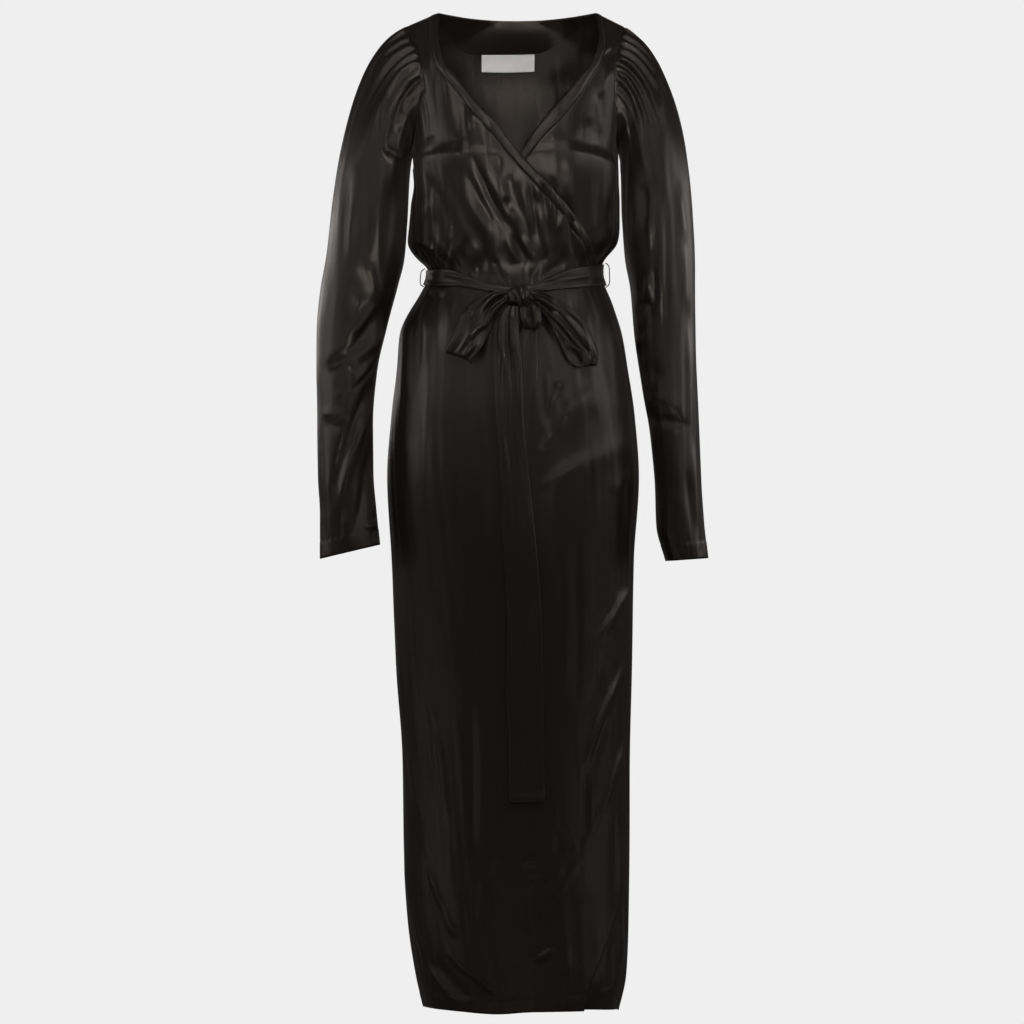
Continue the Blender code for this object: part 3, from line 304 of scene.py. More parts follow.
# The bodice is more uneven than the hips, and the lower skirt is calmer
BODICE_UNREST, BODICE_UNREST_DROPS = 0.9, (400.0, 330.0)
SKIRT_CALM, SKIRT_CALM_DROPS = 0.4, (560.0, 760.0)
# Small gathers along the waist: height by panel, width and length, and how near to the waist
FRONT_GATHER, BACK_GATHER, OVER_SKIRT_GATHER, BACK_SKIRT_GATHER = 1.1, 1.6, 0.9, 1.1
GATHER_SIZE = (6.5, 90.0)
GATHERS_START, GATHERS_END = (62.0, 8.0), (-1.0, 4.0)
SKIRT_GATHERS_START, SKIRT_GATHERS_END, SKIRT_GATHERS = (80.0, 10.0), (0.0, 4.0), 0.7
UNDER_UNEVENNESS = 0.6

# Edges: seams, the neck bands across their width (0 edge, 1 seam), hem, cuffs and wrap edge
SEAM_WIDTH, TURN_EDGE, ARMHOLE_BLUR = 1.9, 1.5, (2.5, 2.0)
BAND_COLUMNS, BAND_CROWN_LEAN, BAND_ROLL_DROPS = 11, 0.8, (150.0, 90.0)
BAND_EDGE_DIP, BAND_EDGE, BAND_SEAM = 1.2, 0.12, 0.14
HEM_RISE, HEM_LINE, HEM_LINE_WIDTH = 0.35, 0.3, 1.8
CUFF_RISE, CUFF_LINE, CUFF_LINE_WIDTH = 0.3, 0.35, 1.6
WRAP_LIFT_WIDTH, WRAP_LIFT_DROPS = 9.0, (380.0, 460.0)
# Inside the back neck
INSIDE_ROWS, INSIDE_LEAST_EASE = 26, 0.45
FACING_COLUMNS, FACING_INSET, FACING_BELOW_EDGE, FACING_LEVEL = 90, 1.5, 0.4, -1.7
LABEL_COLUMNS, LABEL_BELOW_FACING, LABEL_BOW, LABEL_LEVEL = 40, 0.6, 0.6, -1.9

# Rows and columns of each panel's grid, and how its rows crowd at both ends
GRIDS = {
    "bodice_front_over": (122, 118), "bodice_front_under": (118, 92), "bodice_back": (112, 116),
    "skirt_front_over": (290, 164), "skirt_front_under": (230, 80), "skirt_back": (230, 130),
}
ROWS_CROWD = 0.03
SLEEVE_COLUMNS, HEAD_ROWS, ARM_ROWS, HEAD_ROWS_CROWD = 134, 74, 132, 1.15
# How far from the armhole a gather is complete, and the share of its length where it fades
GATHER_RISE, GATHER_FADE = 9.0, 0.35
# Fine pleats of the sleeve head: how far round they are counted, height, width and length
CAP_PLEATS, CAP_PLEAT_HEIGHT, CAP_PLEAT_SIZE = 260.0, 0.9, (5.0, 60.0)
CAP_PLACES, CAP_PLEAT_RISE, CAP_PLEAT_FADE = (0.25, 0.5), (0.0, 6.0), (55.0, 12.0)
# Folds die away at the armhole, at the sleeve's two edges and in part at the cuff
SLEEVE_HALF_GIRTH, SLEEVE_FOLDS_FROM, SLEEVE_FLANK = 130.0, (2.0, 16.0), (0.06, 0.4)
CUFF_CALM, CUFF_CALM_DROPS = 0.6, (742.0, 766.0)
# The back of a sleeve has the front's folds, weaker and lower down
BEHIND_FOLDS, BEHIND_LOWER = 0.8, 26.0
# Belt: rows, columns of the front and of the back; its crown, its edges and its lowest level
BELT_GRID = (22, 190, 150)
BELT_RISE, BELT_EDGE_DIP, BELT_SINK = 0.3, 0.8, 0.9
# Half width at which the belt lies flat, and how it creases where it is narrower
BELT_FLAT_HALF, BELT_SQUEEZE, BELT_LEAST_SQUEEZE = 19.0, 12.0, 0.15
BELT_WAVE_SLANT, BELT_WAVE_SIZE = 0.003, (0.8, 60.0)
BELT_WAVES = (
    # seed, how many across, height
    (141, 1.3, 0.8), (142, 2.6, 0.4),
)
KNOT_RINGS, KNOT_COLUMNS, KNOT_END = 110, 90, 0.03
# Slant and bend of the knot's turns, height and number of their plies, and its outline
KNOT_SLANT, KNOT_PLIES = (0.16, 0.10), ((0.11, 8.0), (0.06, 15.0))
KNOT_BULGE, KNOT_TAPER = 0.05, 0.12
# Length that one row of a tie end's table counts for in its creases, and how these grow
# where the tie is squeezed
CREASE_ROW, CREASE_LEAST, CREASE_SQUEEZE = 20.0, 0.5, 1.3
TIE_MOST_SQUEEZE, TIE_WAVES_WIDTH = 0.75, 50.0
TIE_HEM = (
    # distance from the end, width, height
    (13.5, 4.0, 0.9), (4.0, 3.2, 0.9), (8.8, 1.2, -0.5),
)
TIE_ENDS = (
    # name, table, creases, columns, rows between two of the table, seed, whether hemmed
    ("bow_loop_right", LOOP_RIGHT, LOOP_RIGHT_CREASES, 40, 16, 301, False),
    ("bow_loop_left", LOOP_LEFT, LOOP_LEFT_CREASES, 40, 16, 311, False),
    ("belt_tail_front", TAIL_FRONT, TAIL_FRONT_CREASES, 34, 24, 321, True),
    ("belt_tail_back", TAIL_BACK, TAIL_BACK_CREASES, 26, 16, 331, True),
)
THREAD_RINGS, THREAD_SIDES = 60, 14
THREAD_RADIUS, THREAD_PLY, THREAD_TWIST = 0.62, 0.22, 18.0
STITCH_PITCH, STITCH_RADIUS, STITCH_LENGTH = 3.0, 0.22, 2.0
STITCH_END = {"thickness": 0.1, "depth": 0.18}

# Materials: slubs and clouds to a metre, the weft's turn to one thread of the warp, and how
# much each counts in wear and height
SLUBS, CLOUDS, WEFT_TURN = (300.0, 9.0), 14.0, 2 * math.pi / 5
WEFT_SHARE, WEAVE_HEIGHT, WEAR_SHARES, HEIGHT_SHARES = 0.5, 0.4, (0.65, 0.35), (0.25, 0.75)
# The last of these is how much lighter the thread's twist bands are painted: a painted highlight
# along its plies
CLOTH_BUMP, TWIST_BUMP, TWIST_SCALE, TWIST_PAINTED_HIGHLIGHT = 0.0004, 0.0003, 900.0, 1.8
WARM_TINT = (1.0, 0.90, 0.82, 1.0)
WEAVE_INPUTS = (
    # label, kind, value
    ("Vector", "NodeSocketVector", None),
    ("Thread", "NodeSocketFloat", 0.00035),
    ("Roughness", "NodeSocketFloat", 0.4),
    ("Roughness Spread", "NodeSocketFloat", 0.08),
    ("Dark", "NodeSocketColor", (0.01, 0.01, 0.01, 1)),
    ("Light", "NodeSocketColor", (0.02, 0.02, 0.02, 1)),
    ("Diagonal", "NodeSocketFloat", 0.0),
)
WEAVE_OUTPUTS = (
    # label, kind
    ("Color", "NodeSocketColor"),
    ("Roughness", "NodeSocketFloat"),
    ("Height", "NodeSocketFloat"),
)

# Camera, floor and lights, in metres
CAMERA_AT = (-0.0043, -10.10, -0.6986)
# Lens and sensor width in millimetres, far end of the view in metres
CAMERA_LENS = (250.0, 36.0, 60.0)
FLOOR = -1.47
FLOOR_REACH, WALL_CURVE, WALL_TOP = 14.0, 2.5, 14.0
CURVE_STEPS, WALL_SIDES = 17, 72
BACKDROP_GLOW = 0.864
WORLD_GLOW, WORLD_COLOUR = 0.070, (1.0, 0.98, 0.96, 1.0)
LIGHT_COLOUR = (1.0, 0.97, 0.95)
LIGHTS = (
    # name, at, aim, width, height, power, spread in degrees, whether it casts shadows
    ("left side", (-2.6, -0.05, -0.05), (0.0, -0.1, -0.05), 0.5, 1.15, 7.5, 180, True),
    ("right side", (2.6, -0.05, -0.05), (0.0, -0.1, -0.05), 0.5, 1.15, 6.5, 180, True),
    ("left front", (-2.0, -2.0, 0.22), (0.0, 0.0, 0.0), 0.45, 1.25, 3.3, 180, True),
    ("right front", (2.0, -2.0, 0.22), (0.0, 0.0, 0.0), 0.45, 1.25, 6.0, 180, True),
    ("left rim", (-1.9, 1.8, -0.15), (0.0, 0.0, -0.3), 1.2, 0.45, 5.5, 180, False),
    ("right rim", (2.4, 1.0, -0.05), (0.0, 0.0, -0.3), 1.3, 0.40, 5.5, 180, False),
    ("top front", (0.0, -2.2, 1.7), (0.0, 0.0, -0.3), 2.4, 0.7, 16.0, 180, True),
    ("front", (0.0, -4.2, 0.4), (0.0, 0.0, -0.1), 1.2, 0.6, 4.5, 180, True),
    ("low front", (0.0, -8.0, -2.75), (0.0, 0.0, -0.3), 3.0, 0.5, 6.0, 180, True),
    ("low left", (-2.4, -1.2, -1.45), (0.0, 0.0, -1.1), 0.8, 0.5, 1.3, 180, True),
    ("low right", (2.4, -1.2, -1.45), (0.0, 0.0, -1.1), 0.8, 0.5, 1.3, 180, True),
    ("neck fill", (0.0, -2.5, 0.55), (0.0, 0.06, -0.02), 0.2, 0.2, 0.08, 10, True),
    ("bodice fill", (0.35, -4.0, -1.20), (0.03, -0.1, -0.24), 1.3, 0.5, 0.40, 9, True),
)

# Gathers of the sleeve heads, on the front and then on the back: where round the armhole
# (0 underarm, 1 shoulder tip), how far they drift in 100 mm, width in the same measure,
# height and length
RIGHT_GATHERS = (
    # at, drift, width, height, length
    (
        (0.4, -0.02, 0.016, 2.2, 60), (0.47, -0.02, 0.018, -2.6, 80),
        (0.52, -0.01, 0.016, 2.8, 90), (0.575, -0.01, 0.014, -3, 85), (0.62, 0, 0.017, 3.4, 120),
        (0.665, 0, 0.013, -3.2, 90), (0.71, 0.01, 0.018, 3.6, 130), (0.755, 0.01, 0.013, -3, 80),
        (0.8, 0.01, 0.017, 3.4, 110), (0.845, 0.01, 0.012, -3, 75), (0.885, 0.01, 0.015, 3.2, 100),
        (0.925, 0, 0.012, -2.6, 60), (0.965, 0, 0.014, 2.8, 80),
    ),
    (
        (0.44, -0.02, 0.018, 2.4, 70), (0.51, -0.01, 0.016, -2.6, 80), (0.57, 0, 0.018, 3.2, 110),
        (0.63, 0, 0.014, -2.8, 80), (0.68, 0.01, 0.017, 3.2, 120), (0.735, 0.01, 0.014, -3, 80),
        (0.785, 0.01, 0.017, 3.4, 100), (0.83, 0.01, 0.012, -2.6, 70), (0.875, 0, 0.016, 3, 90),
        (0.93, 0, 0.014, -2.6, 60),
    ),
)
LEFT_GATHERS = (
    # at, drift, width, height, length
    (
        (0.36, -0.02, 0.016, 2, 55), (0.42, -0.02, 0.016, -2.6, 80),
        (0.475, -0.02, 0.017, 3.2, 130), (0.53, -0.01, 0.013, -3, 110),
        (0.575, -0.01, 0.016, 3.4, 140), (0.62, 0, 0.013, -3.2, 100), (0.665, 0, 0.017, 3.6, 150),
        (0.71, 0.01, 0.013, -3.2, 100), (0.755, 0.01, 0.016, 3.4, 140), (0.8, 0.01, 0.012, -3, 90),
        (0.84, 0.01, 0.016, 3.2, 120), (0.885, 0.01, 0.012, -2.8, 70), (0.925, 0, 0.014, 3, 100),
        (0.965, 0, 0.011, -2.2, 50),
    ),
    (
        (0.42, -0.02, 0.018, 2.4, 70), (0.49, -0.01, 0.016, -2.6, 80), (0.55, 0, 0.018, 3.2, 110),
        (0.61, 0, 0.014, -2.8, 80), (0.665, 0.01, 0.017, 3.2, 120), (0.72, 0.01, 0.014, -3, 80),
        (0.77, 0.01, 0.017, 3.4, 100), (0.82, 0.01, 0.012, -2.6, 70), (0.87, 0, 0.016, 3, 90),
        (0.93, 0, 0.014, -2.6, 60),
    ),
)
BELT_CREASES = (
    # x0, drop0, x1, drop1, bow, width, height, lean
    (45, 374, 100, 366, 0, 3, -1.8), (40, 373, 62, 369, 0, 2.6, 1.6),
    (102, 350, 103, 378, 0, 3, 1.5), (-100, 362, -60, 372, 0, 3, -1.2),
)

# Where the cloth breaks over the bust: its line, and how far it stands out there
BUST_LINE = (
    # x, drop, height
    (-146, 232, 3.4), (-139, 213, 4.4), (-128, 202, 5.4), (-112, 197, 5.8), (-78, 195, 5.8),
    (-50, 196, 5.1), (-14, 197, 2.4), (20, 196, 2), (37, 192, 4.1), (64, 190, 4.8), (92, 194, 5.4),
    (121, 201, 6.5), (135, 208, 6.5), (144, 218, 4.1),
)
BUST_BREAK, BUST_CURVE = 3.2, 1.4
BUST_FADE_FROM, BUST_FADE_TO = 205.0, 335.0

# Folds of each panel: ridges stand out (+), troughs lie in (-). Bow bends a fold to its left
# side, and lean (0 where it is left out) makes one of its flanks broader than the other.
# x0, drop0, x1, drop1, bow, width, height, lean
OVER_BODICE = (
    (-57, 196, -6, 307, -4.3, 5.1, -5, 0.3), (-44, 199, 7, 310, -4.3, 6.4, 2.6),
    (-92, 206, -31, 314, -2.8, 11.4, 3.2), (-74, 206, -20, 312, -2.8, 6.4, -2),
    (-21, 196, -20, 224, 0, 5, -2.5), (-13, 256, -4, 280, 0, 5, -3),
    (-3, 307, 18, 348, 1.4, 5, -5, -0.3), (6, 310, 24, 344, 1.4, 4.3, 2.5),
    (-11, 312, 3, 349, 0, 4.3, 3), (23, 222, 34, 266, 0, 4.3, 2.5),
    (43, 224, 53, 293, 0, 4.5, 3.2), (60, 241, 70, 297, 0, 4.3, 2.6),
    (33, 224, 44, 278, 0, 3.4, -2.2), (51, 234, 61, 297, 0, 3.4, -2.4),
    (74, 270, 82, 344, 1.4, 3.7, -4.6, 0.2), (87, 287, 95, 344, 1.4, 5.7, 2.4),
    (104, 307, 106, 344, 0, 5, -1.6), (-82, 312, -91, 349, 0, 3.7, 3),
    (-94, 312, -99, 352, 0, 3.4, -3.2), (-106, 307, -109, 352, 0, 3.7, 2.6),
    (-116, 301, -115, 354, 0, 3.1, -2.6), (-70, 310, -74, 355, 0, 4.3, -2.4),
    (-57, 318, -60, 364, 0, 4.3, 2.4), (-44, 324, -38, 372, 0, 4.3, -2.4),
    (-143, 320, -115, 341, 1.4, 3.4, -2.2), (-139, 314, -109, 334, 1.4, 3.4, 1.8),
    (-149, 328, -122, 351, 1.4, 3.4, 2), (-124, 260, -118, 290, 0, 7.1, 1.8),
    (-31, 338, -14, 381, 0, 3.7, -3), (-23, 346, -9, 382, 0, 3.4, 2.4),
    (36, 352, 17, 379, 0, 3.7, -3), (53, 338, 26, 373, -1.4, 4.3, 2.6),
    (74, 338, 40, 372, -1.4, 3.7, -2.4), (-136, 54, -129, 84, 0, 3.7, 2),
    (-131, 82, -126, 109, 0, 3.4, -2), (-133, 106, -142, 159, 0, 4.3, 1.6),
    (-92, 54, -97, 173, -1.4, 11.4, 1.8), (-75, 102, -67, 180, 1.4, 7.8, -2.4),
    (-58, 133, -57, 162, 0, 7.1, 2.4), (-40, 139, -33, 185, 0, 6.4, -2.2),
    (-118, 170, -112, 187, 0, 8.5, 1.2), (-102, 213, -61, 321, -2.8, 6.4, 2.6),
    (-124, 210, -105, 293, -1.4, 7.1, 2.2), (-116, 222, -85, 307, -1.4, 5.7, -2.2),
    (-30, 206, 7, 307, -1.4, 5.1, 2.6), (-11, 216, 13, 301, -1.4, 4.5, -2.2),
    (6, 230, 26, 312, 0, 4.5, 2.8), (16, 241, 37, 327, 0, 4.3, -2.6),
    (30, 263, 48, 344, 0, 4.5, 2.6), (64, 275, 68, 338, 0, 4.3, 2.2),
    (48, 213, 65, 312, 0, 12.8, 3), (13, 233, 26, 293, 0, 4.8, 2.6),
    (-4, 236, 7, 301, 0, 7.1, 2.4), (-51, 264, -37, 327, 0, 5.1, 2.2),
    (-132, 185, -106, 185, 0, 5.7, 1.2),
)
UNDER_BODICE = (
    (121, 51, 136, 36, -2.8, 4.3, 3), (136, 36, 148, 45, -1.4, 3.7, 3),
    (146, 43, 145, 65, 1.4, 3.7, 2.4), (133, 43, 132, 60, 0, 5.7, -3),
    (138, 65, 121, 116, -1.4, 8.5, 3.2), (116, 102, 126, 173, 1.4, 7.8, -2.6),
    (143, 224, 136, 293, -1.4, 3.7, -3), (85, 196, 88, 307, 0, 12.8, 1.2),
    (114, 202, 121, 307, 0, 9.9, -1.6), (31, 196, 33, 217, 0, 5.7, -2.2),
    (99, 142, 109, 182, 0, 9.9, 1.2), (126, 295, 125, 344, 0, 3.7, 2.4),
    (115, 301, 115, 344, 0, 3.7, -2.2),
)
SKIRT = (
    (-124, 386, -111, 398, 4.3, 4.3, 3.4), (-124, 392, -104, 389, 0, 4.8, -3.4),
    (-105, 383, -101, 393, 0, 3.7, 2.4), (-151, 405, -155, 542, -1.4, 7.1, 3),
    (98, 398, 104, 511, 0, 8.5, 2.2), (115, 398, 125, 540, 0, 7.1, -2.4),
    (131, 398, 139, 542, 0, 7.1, 2.8), (81, 392, 84, 471, 0, 7.1, -1.8),
    (64, 517, 58, 545, 0, 5.7, -2.4), (78, 537, 72, 574, 0, 7.1, 2),
    (-136, 400, -139, 547, -1.4, 7.1, -3), (-124, 395, -129, 500, 0, 5.7, 2),
    (-106, 389, -112, 469, 0, 5.7, -1.8), (-89, 393, -92, 483, 0, 7.1, 1.8),
    (-166, 528, -168, 639, -1.4, 7.1, 1.6), (-53, 398, -55, 568, 0, 9.9, -1.6),
    (-38, 398, -41, 710, 0, 8.5, 1.8), (37, 500, 43, 579, 0, 4.3, -2.4),
    (44, 500, 48, 568, 0, 3.4, 2), (51, 537, 48, 582, 0, 3.4, -2.6),
    (50, 585, 121, 518, 4.3, 17, 2.3, -0.4), (36, 609, 50, 589, 0, 4.3, 2.4),
    (24, 682, 126, 618, 7.1, 18.5, 2.5, -0.4), (104, 630, 166, 592, 2.8, 15.6, 1.9, -0.4),
    (64, 692, 126, 659, 5.7, 12.8, -0.6), (138, 676, 163, 639, 0, 9.9, 1.2, -0.3),
    (121, 880, 162, 809, 2.8, 6.2, 3.4, 0.3), (109, 880, 152, 818, 2.8, 7.1, -1.9),
    (75, 710, 72, 966, 0, 4.8, 1.5), (87, 710, 89, 974, 0, 4.8, -1.9),
    (101, 738, 101, 880, 0, 9.9, 1), (143, 866, 108, 985, -2.8, 7.1, -2.5),
    (159, 912, 99, 1065, -5.7, 3.7, 3.9, -0.5), (145, 966, 106, 1072, -4.3, 5.7, -2),
    (99, 1054, 99, 1162, 0, 4.5, -3.4), (109, 1065, 106, 1150, 0, 5.7, 1.5),
    (159, 1020, 126, 1119, -1.4, 3.7, 3.1, -0.3), (129, 1108, 94, 1187, -1.4, 5.1, 1.5, -0.3),
    (94, 1184, 53, 1261, -1.4, 6.8, 1.1), (141, 1125, 139, 1257, 0, 6.8, -1.4),
    (152, 1145, 148, 1250, 0, 5.1, 1.3), (124, 1193, 121, 1335, 0, 11.9, 0.7),
    (-169, 909, -153, 1020, -1.4, 5.4, 1.6), (-155, 1014, -132, 1142, -1.4, 5.1, 1.6, 0.3),
    (-132, 1136, -122, 1193, 0, 5.1, 0.9), (-124, 951, -111, 1008, 0, 4.4, 1.2),
    (-112, 997, -95, 1156, 1.4, 4.1, 1.9, 0.4), (-95, 1150, -88, 1242, 0, 4.8, 1.1),
    (-129, 966, -115, 1093, 0, 6.8, -1.1), (-64, 951, -60, 1193, 1.4, 6.8, -2.8, 0.2),
    (-47, 966, -47, 1207, 0, 10.2, 1.1), (-58, 1210, -57, 1285, 0, 5.1, -1.9),
    (-40, 1216, -38, 1289, 0, 6.1, 1.2), (-30, 1187, -28, 1285, 0, 5.1, -1.5),
    (-146, 1108, -141, 1207, 0, 8.5, -0.9), (-158, 1190, -146, 1261, 0, 4.4, 1.5, 0.3),
    (-148, 1252, -125, 1338, -1.4, 4.4, 1.7, 0.3), (-126, 1329, -77, 1396, -5.7, 4.4, 1.7, 0.2),
    (-125, 1196, -98, 1267, -1.4, 4.1, 1.9, 0.4), (-101, 1258, -81, 1301, -1.4, 4.4, 1.4),
    (-98, 1312, -55, 1355, -4.3, 4.1, 1.5, 0.2), (-64, 1346, -27, 1377, 0, 4.1, 1.3),
    (-112, 1329, -64, 1386, -2.8, 8.5, -1.2), (7, 1189, 43, 1191, 0, 5.1, 0.9),
    (40, 1228, 68, 1198, 1.4, 6, 1.2, -0.3), (26, 1210, 27, 1221, 0, 11.9, -0.5),
    (65, 1129, 85, 1181, 4.3, 4.1, 1.5), (61, 1145, 61, 1190, 0, 6.8, -1.7),
    (18, 1224, 20, 1298, 0, 5.1, -1.4), (33, 1233, 33, 1272, 0, 4.4, -1),
    (26, 1230, 26, 1292, 0, 4.1, 0.8), (21, 1328, 53, 1312, -2.8, 4.8, 1.8, -0.3),
    (16, 1306, 62, 1304, -1.4, 5.8, -0.6), (-4, 1335, 21, 1329, 0, 6.5, -0.5),
    (64, 1314, 72, 1356, 0, 13.6, 0.8), (-13, 1250, -16, 1370, 0, 13.6, 0.8),
    (116, 1365, 145, 1349, 0, 4.1, 1),
)
SKIRT_UNDER = (
    (152, 1257, 155, 1349, 0, 4.3, 2.4), (139, 1292, 138, 1377, 0, 5.7, -2),
    (162, 1235, 158, 1306, 0, 4.3, -2), (121, 1380, 146, 1370, 0, 4.3, 1.4),
)
SLEEVE_RIGHT_FOLDS = (
    (-176, 85, -196, 166, -2.8, 5.1, -4.5, 0.2), (-158, 97, -156, 139, 0, 4.3, 3),
    (-169, 114, -183, 170, 0, 5.7, 2.6), (-179, 148, -175, 204, -5.7, 4.5, 3),
    (-166, 151, -165, 193, 0, 7.1, -3), (-192, 185, -160, 202, 4.3, 3.7, 3),
    (-149, 145, -156, 199, 1.4, 4.3, 2.4), (-192, 182, -193, 352, -1.4, 6, 4, 0.2),
    (-206, 196, -209, 355, -1.4, 5.7, -3.2), (-219, 203, -236, 332, 0, 7.1, 3.6),
    (-233, 213, -246, 344, 0, 7.1, -2.6), (-243, 227, -256, 398, 0, 7.1, 1.8),
    (-175, 206, -180, 344, 1.4, 7.1, -3), (-166, 256, -176, 344, 0, 4.8, 2.2),
    (-212, 344, -197, 398, 2.8, 4.3, 2.6), (-203, 338, -190, 386, 1.4, 4, -2.4),
    (-222, 352, -214, 398, 0, 4.3, -2), (-182, 398, -240, 479, 2.8, 8, -6, 0.3),
    (-234, 476, -268, 497, 0, 7.7, -4), (-195, 402, -240, 454, 2.8, 6, 3.6),
    (-180, 440, -223, 483, 1.4, 6.5, 3.4), (-189, 463, -231, 523, 2.8, 4.3, 4.4, -0.4),
    (-195, 477, -231, 528, 2.8, 4.3, -3), (-239, 491, -231, 514, 2.8, 3.1, -2.6),
    (-248, 523, -234, 537, 0, 8.5, 1.8), (-197, 500, -258, 690, -7.1, 7.7, -4.6, 0.2),
    (-200, 534, -248, 693, -4.3, 6.2, 4.2), (-204, 596, -227, 738, 1.4, 6, -4),
    (-196, 639, -203, 710, 0, 4.3, 2.2), (-274, 557, -240, 562, 0, 5.7, 2),
    (-271, 574, -243, 579, 0, 7.1, -1.6), (-275, 398, -278, 540, 0, 5.7, 1.8),
    (-212, 721, -192, 716, 0, 4, 2.4), (-263, 639, -266, 738, 0, 8.5, 1.2),
    (-240, 696, -241, 750, 0, 4.3, 1.6),
)
SLEEVE_LEFT_FOLDS = (
    (169, 111, 190, 230, -2.8, 6, 3.4, 0.2), (189, 224, 190, 332, 1.4, 4.8, 3.2),
    (182, 128, 200, 241, -2.8, 4.8, -3), (199, 57, 210, 151, -2.8, 5.7, 3),
    (209, 145, 214, 270, -1.4, 5.1, 3), (214, 263, 214, 435, 0, 4.3, -3.6, 0.2),
    (206, 256, 206, 429, 0, 5.7, 2.6), (230, 230, 241, 327, 0, 4.8, 3),
    (241, 321, 243, 429, 0, 4.5, 2.8), (243, 423, 250, 602, 0, 4.5, 2.6),
    (250, 596, 261, 746, 0, 4.3, 3), (224, 241, 231, 426, 0, 5.7, -2.2),
    (160, 145, 166, 236, 0, 7.1, -2.6), (182, 233, 185, 295, 0, 7.1, -4.4),
    (172, 241, 169, 327, 0, 4.3, 2.2), (187, 364, 187, 395, 0, 4.5, 3.8),
    (179, 344, 178, 403, 0, 3.7, -3.2), (196, 352, 195, 412, 0, 3.7, -3.2),
    (173, 403, 193, 406, 0, 5.1, -3.4), (195, 400, 179, 456, 0, 4.3, -2.6),
    (168, 400, 178, 452, 2.8, 3.4, 3.2), (178, 446, 170, 480, 1.4, 3.4, 2.8),
    (186, 412, 185, 469, 0, 5.7, 2.2), (189, 486, 206, 517, 0, 9.9, -2.4),
    (189, 534, 240, 554, 0, 14.2, 3), (199, 568, 248, 577, 1.4, 6, -3.4),
    (186, 545, 199, 577, 0, 4.8, -2.6), (195, 574, 199, 682, 0, 5.1, 1.8),
    (244, 639, 254, 746, 0, 4.5, -3), (212, 596, 217, 724, 0, 9.9, -1.2),
    (229, 596, 234, 724, 0, 9.9, 1.4), (217, 0, 223, 14, 0, 5.7, 1),
)
BACK_BODICE = (
    (-70, 120, -52, 352, 6, 9, 3.6, 0.2), (-58, 150, -42, 352, 4, 6, -2.4),
    (-40, 150, -30, 355, 3, 8, 3), (-24, 190, -18, 355, 2, 6, -3.2), (-10, 170, -6, 356, 0, 8, 3),
    (6, 210, 6, 356, 0, 6, -2.6), (22, 140, 20, 356, -3, 8, 3), (55, 43, 67, 150, 2, 7, -2.6),
    (74, 50, 80, 140, 0, 5, 2.6), (52, 150, 60, 352, -6, 9, 3.6, -0.2),
    (84, 200, 76, 352, -5, 7, -3.2), (110, 170, 96, 345, -6, 9, 3),
    (-112, 180, -96, 345, 6, 9, -3), (-130, 120, -88, 225, 8, 9, -2.4),
    (128, 118, 90, 230, -8, 9, -2.4), (-96, 60, -60, 118, 4, 9, 1.6),
)
BACK_SKIRT = (
    (-96, 400, -104, 760, 6, 13, 3.6), (-76, 398, -80, 560, 4, 7, -2.4),
    (-46, 500, -58, 1180, 8, 14, 4.4, 0.2), (-28, 560, -36, 1150, 6, 10, -2.6),
    (-10, 640, -22, 1390, 6, 9, -4.6), (14, 700, 8, 1380, 4, 9, 2.6),
    (40, 560, 34, 1250, -6, 14, 4.4, -0.2), (58, 600, 56, 1240, -4, 8, -2.8),
    (92, 420, 100, 820, -6, 12, -3.6), (70, 402, 76, 600, -3, 8, 2.6),
    (84, 900, 76, 1400, -6, 13, 4), (-110, 980, -96, 1400, 5, 13, -4),
    (-40, 640, 30, 600, 10, 7, 3.6, 0.3), (-60, 690, 40, 652, 12, 8, -3),
    (-120, 620, -60, 590, -6, 6, 3), (-126, 1100, -90, 1300, 8, 5, 3.2, 0.3),
    (120, 1000, 96, 1200, 6, 5, 3.2, -0.3), (-30, 1240, 24, 1262, -4, 5, 2.8),
    (0, 420, 0, 560, 0, 22, -2.4),
)


def even(count):
    return np.linspace(0.0, 1.0, count)


def column(table, index):
    return np.array([row[index] for row in table], float)


def mixed(first, second, share):
    return first * (1 - share) + second * share


def eased(first, second, share):
    """From the first value to the second, level at both ends."""
    return (1 + 2 * share) * (1 - share) ** 2 * first + share * share * (3 - 2 * share) * second


def step(value, start, end):
    t = np.clip((value - start) / (end - start), 0.0, 1.0)
    return t * t * (3 - 2 * t)


def bell(value, width):
    return np.exp(-((value / width) ** 2))


def unit(vectors):
    return vectors / np.maximum(np.linalg.norm(vectors, axis=-1, keepdims=True), 1e-9)


def gaps(points, axis=0):
    """Distances from each point to the next one along an axis."""
    return np.linalg.norm(np.diff(points, axis=axis), axis=-1)


def running(steps, axis=0):
    """Running total of steps along an axis, from nothing."""
    pads = [(0, 0)] * steps.ndim
    pads[axis] = (1, 0)
    return np.pad(np.cumsum(steps, axis=axis), pads)


def smooth(at, places, values):
    """A curve through the given values that never swings past them."""
    steps = np.diff(places)
    slopes = np.diff(values) / steps
    tangents = np.zeros(len(values))
    same_way = slopes[1:] * slopes[:-1] > 0
    safe = np.where(same_way, slopes[1:] + slopes[:-1], 1.0)
    tangents[1:-1] = np.where(same_way, 2 * slopes[1:] * slopes[:-1] / safe, 0.0)
    tangents[0], tangents[-1] = slopes[0], slopes[-1]
    at = np.clip(at, places[0], places[-1])
    i = np.clip(np.searchsorted(places, at, side="right") - 1, 0, len(steps) - 1)
    t = (at - places[i]) / steps[i]
    turn = t * (1 - t) ** 2 * tangents[i] - t * t * (1 - t) * tangents[i + 1]
    return eased(values[i], values[i + 1], t) + turn * steps[i]


def read(table, at, index=1):
    """One column of a table, at places given in its first column."""
    return smooth(np.asarray(at, float), column(table, 0), column(table, index))


def read_rows(table, count):
    """Even steps down a table's rows, and each of its columns at them."""
    at = np.linspace(0.0, len(table) - 1.0, count)
    places = np.arange(len(table), dtype=float)
    return at, [smooth(at, places, column(table, k))[:, None] for k in range(len(table[0]))]


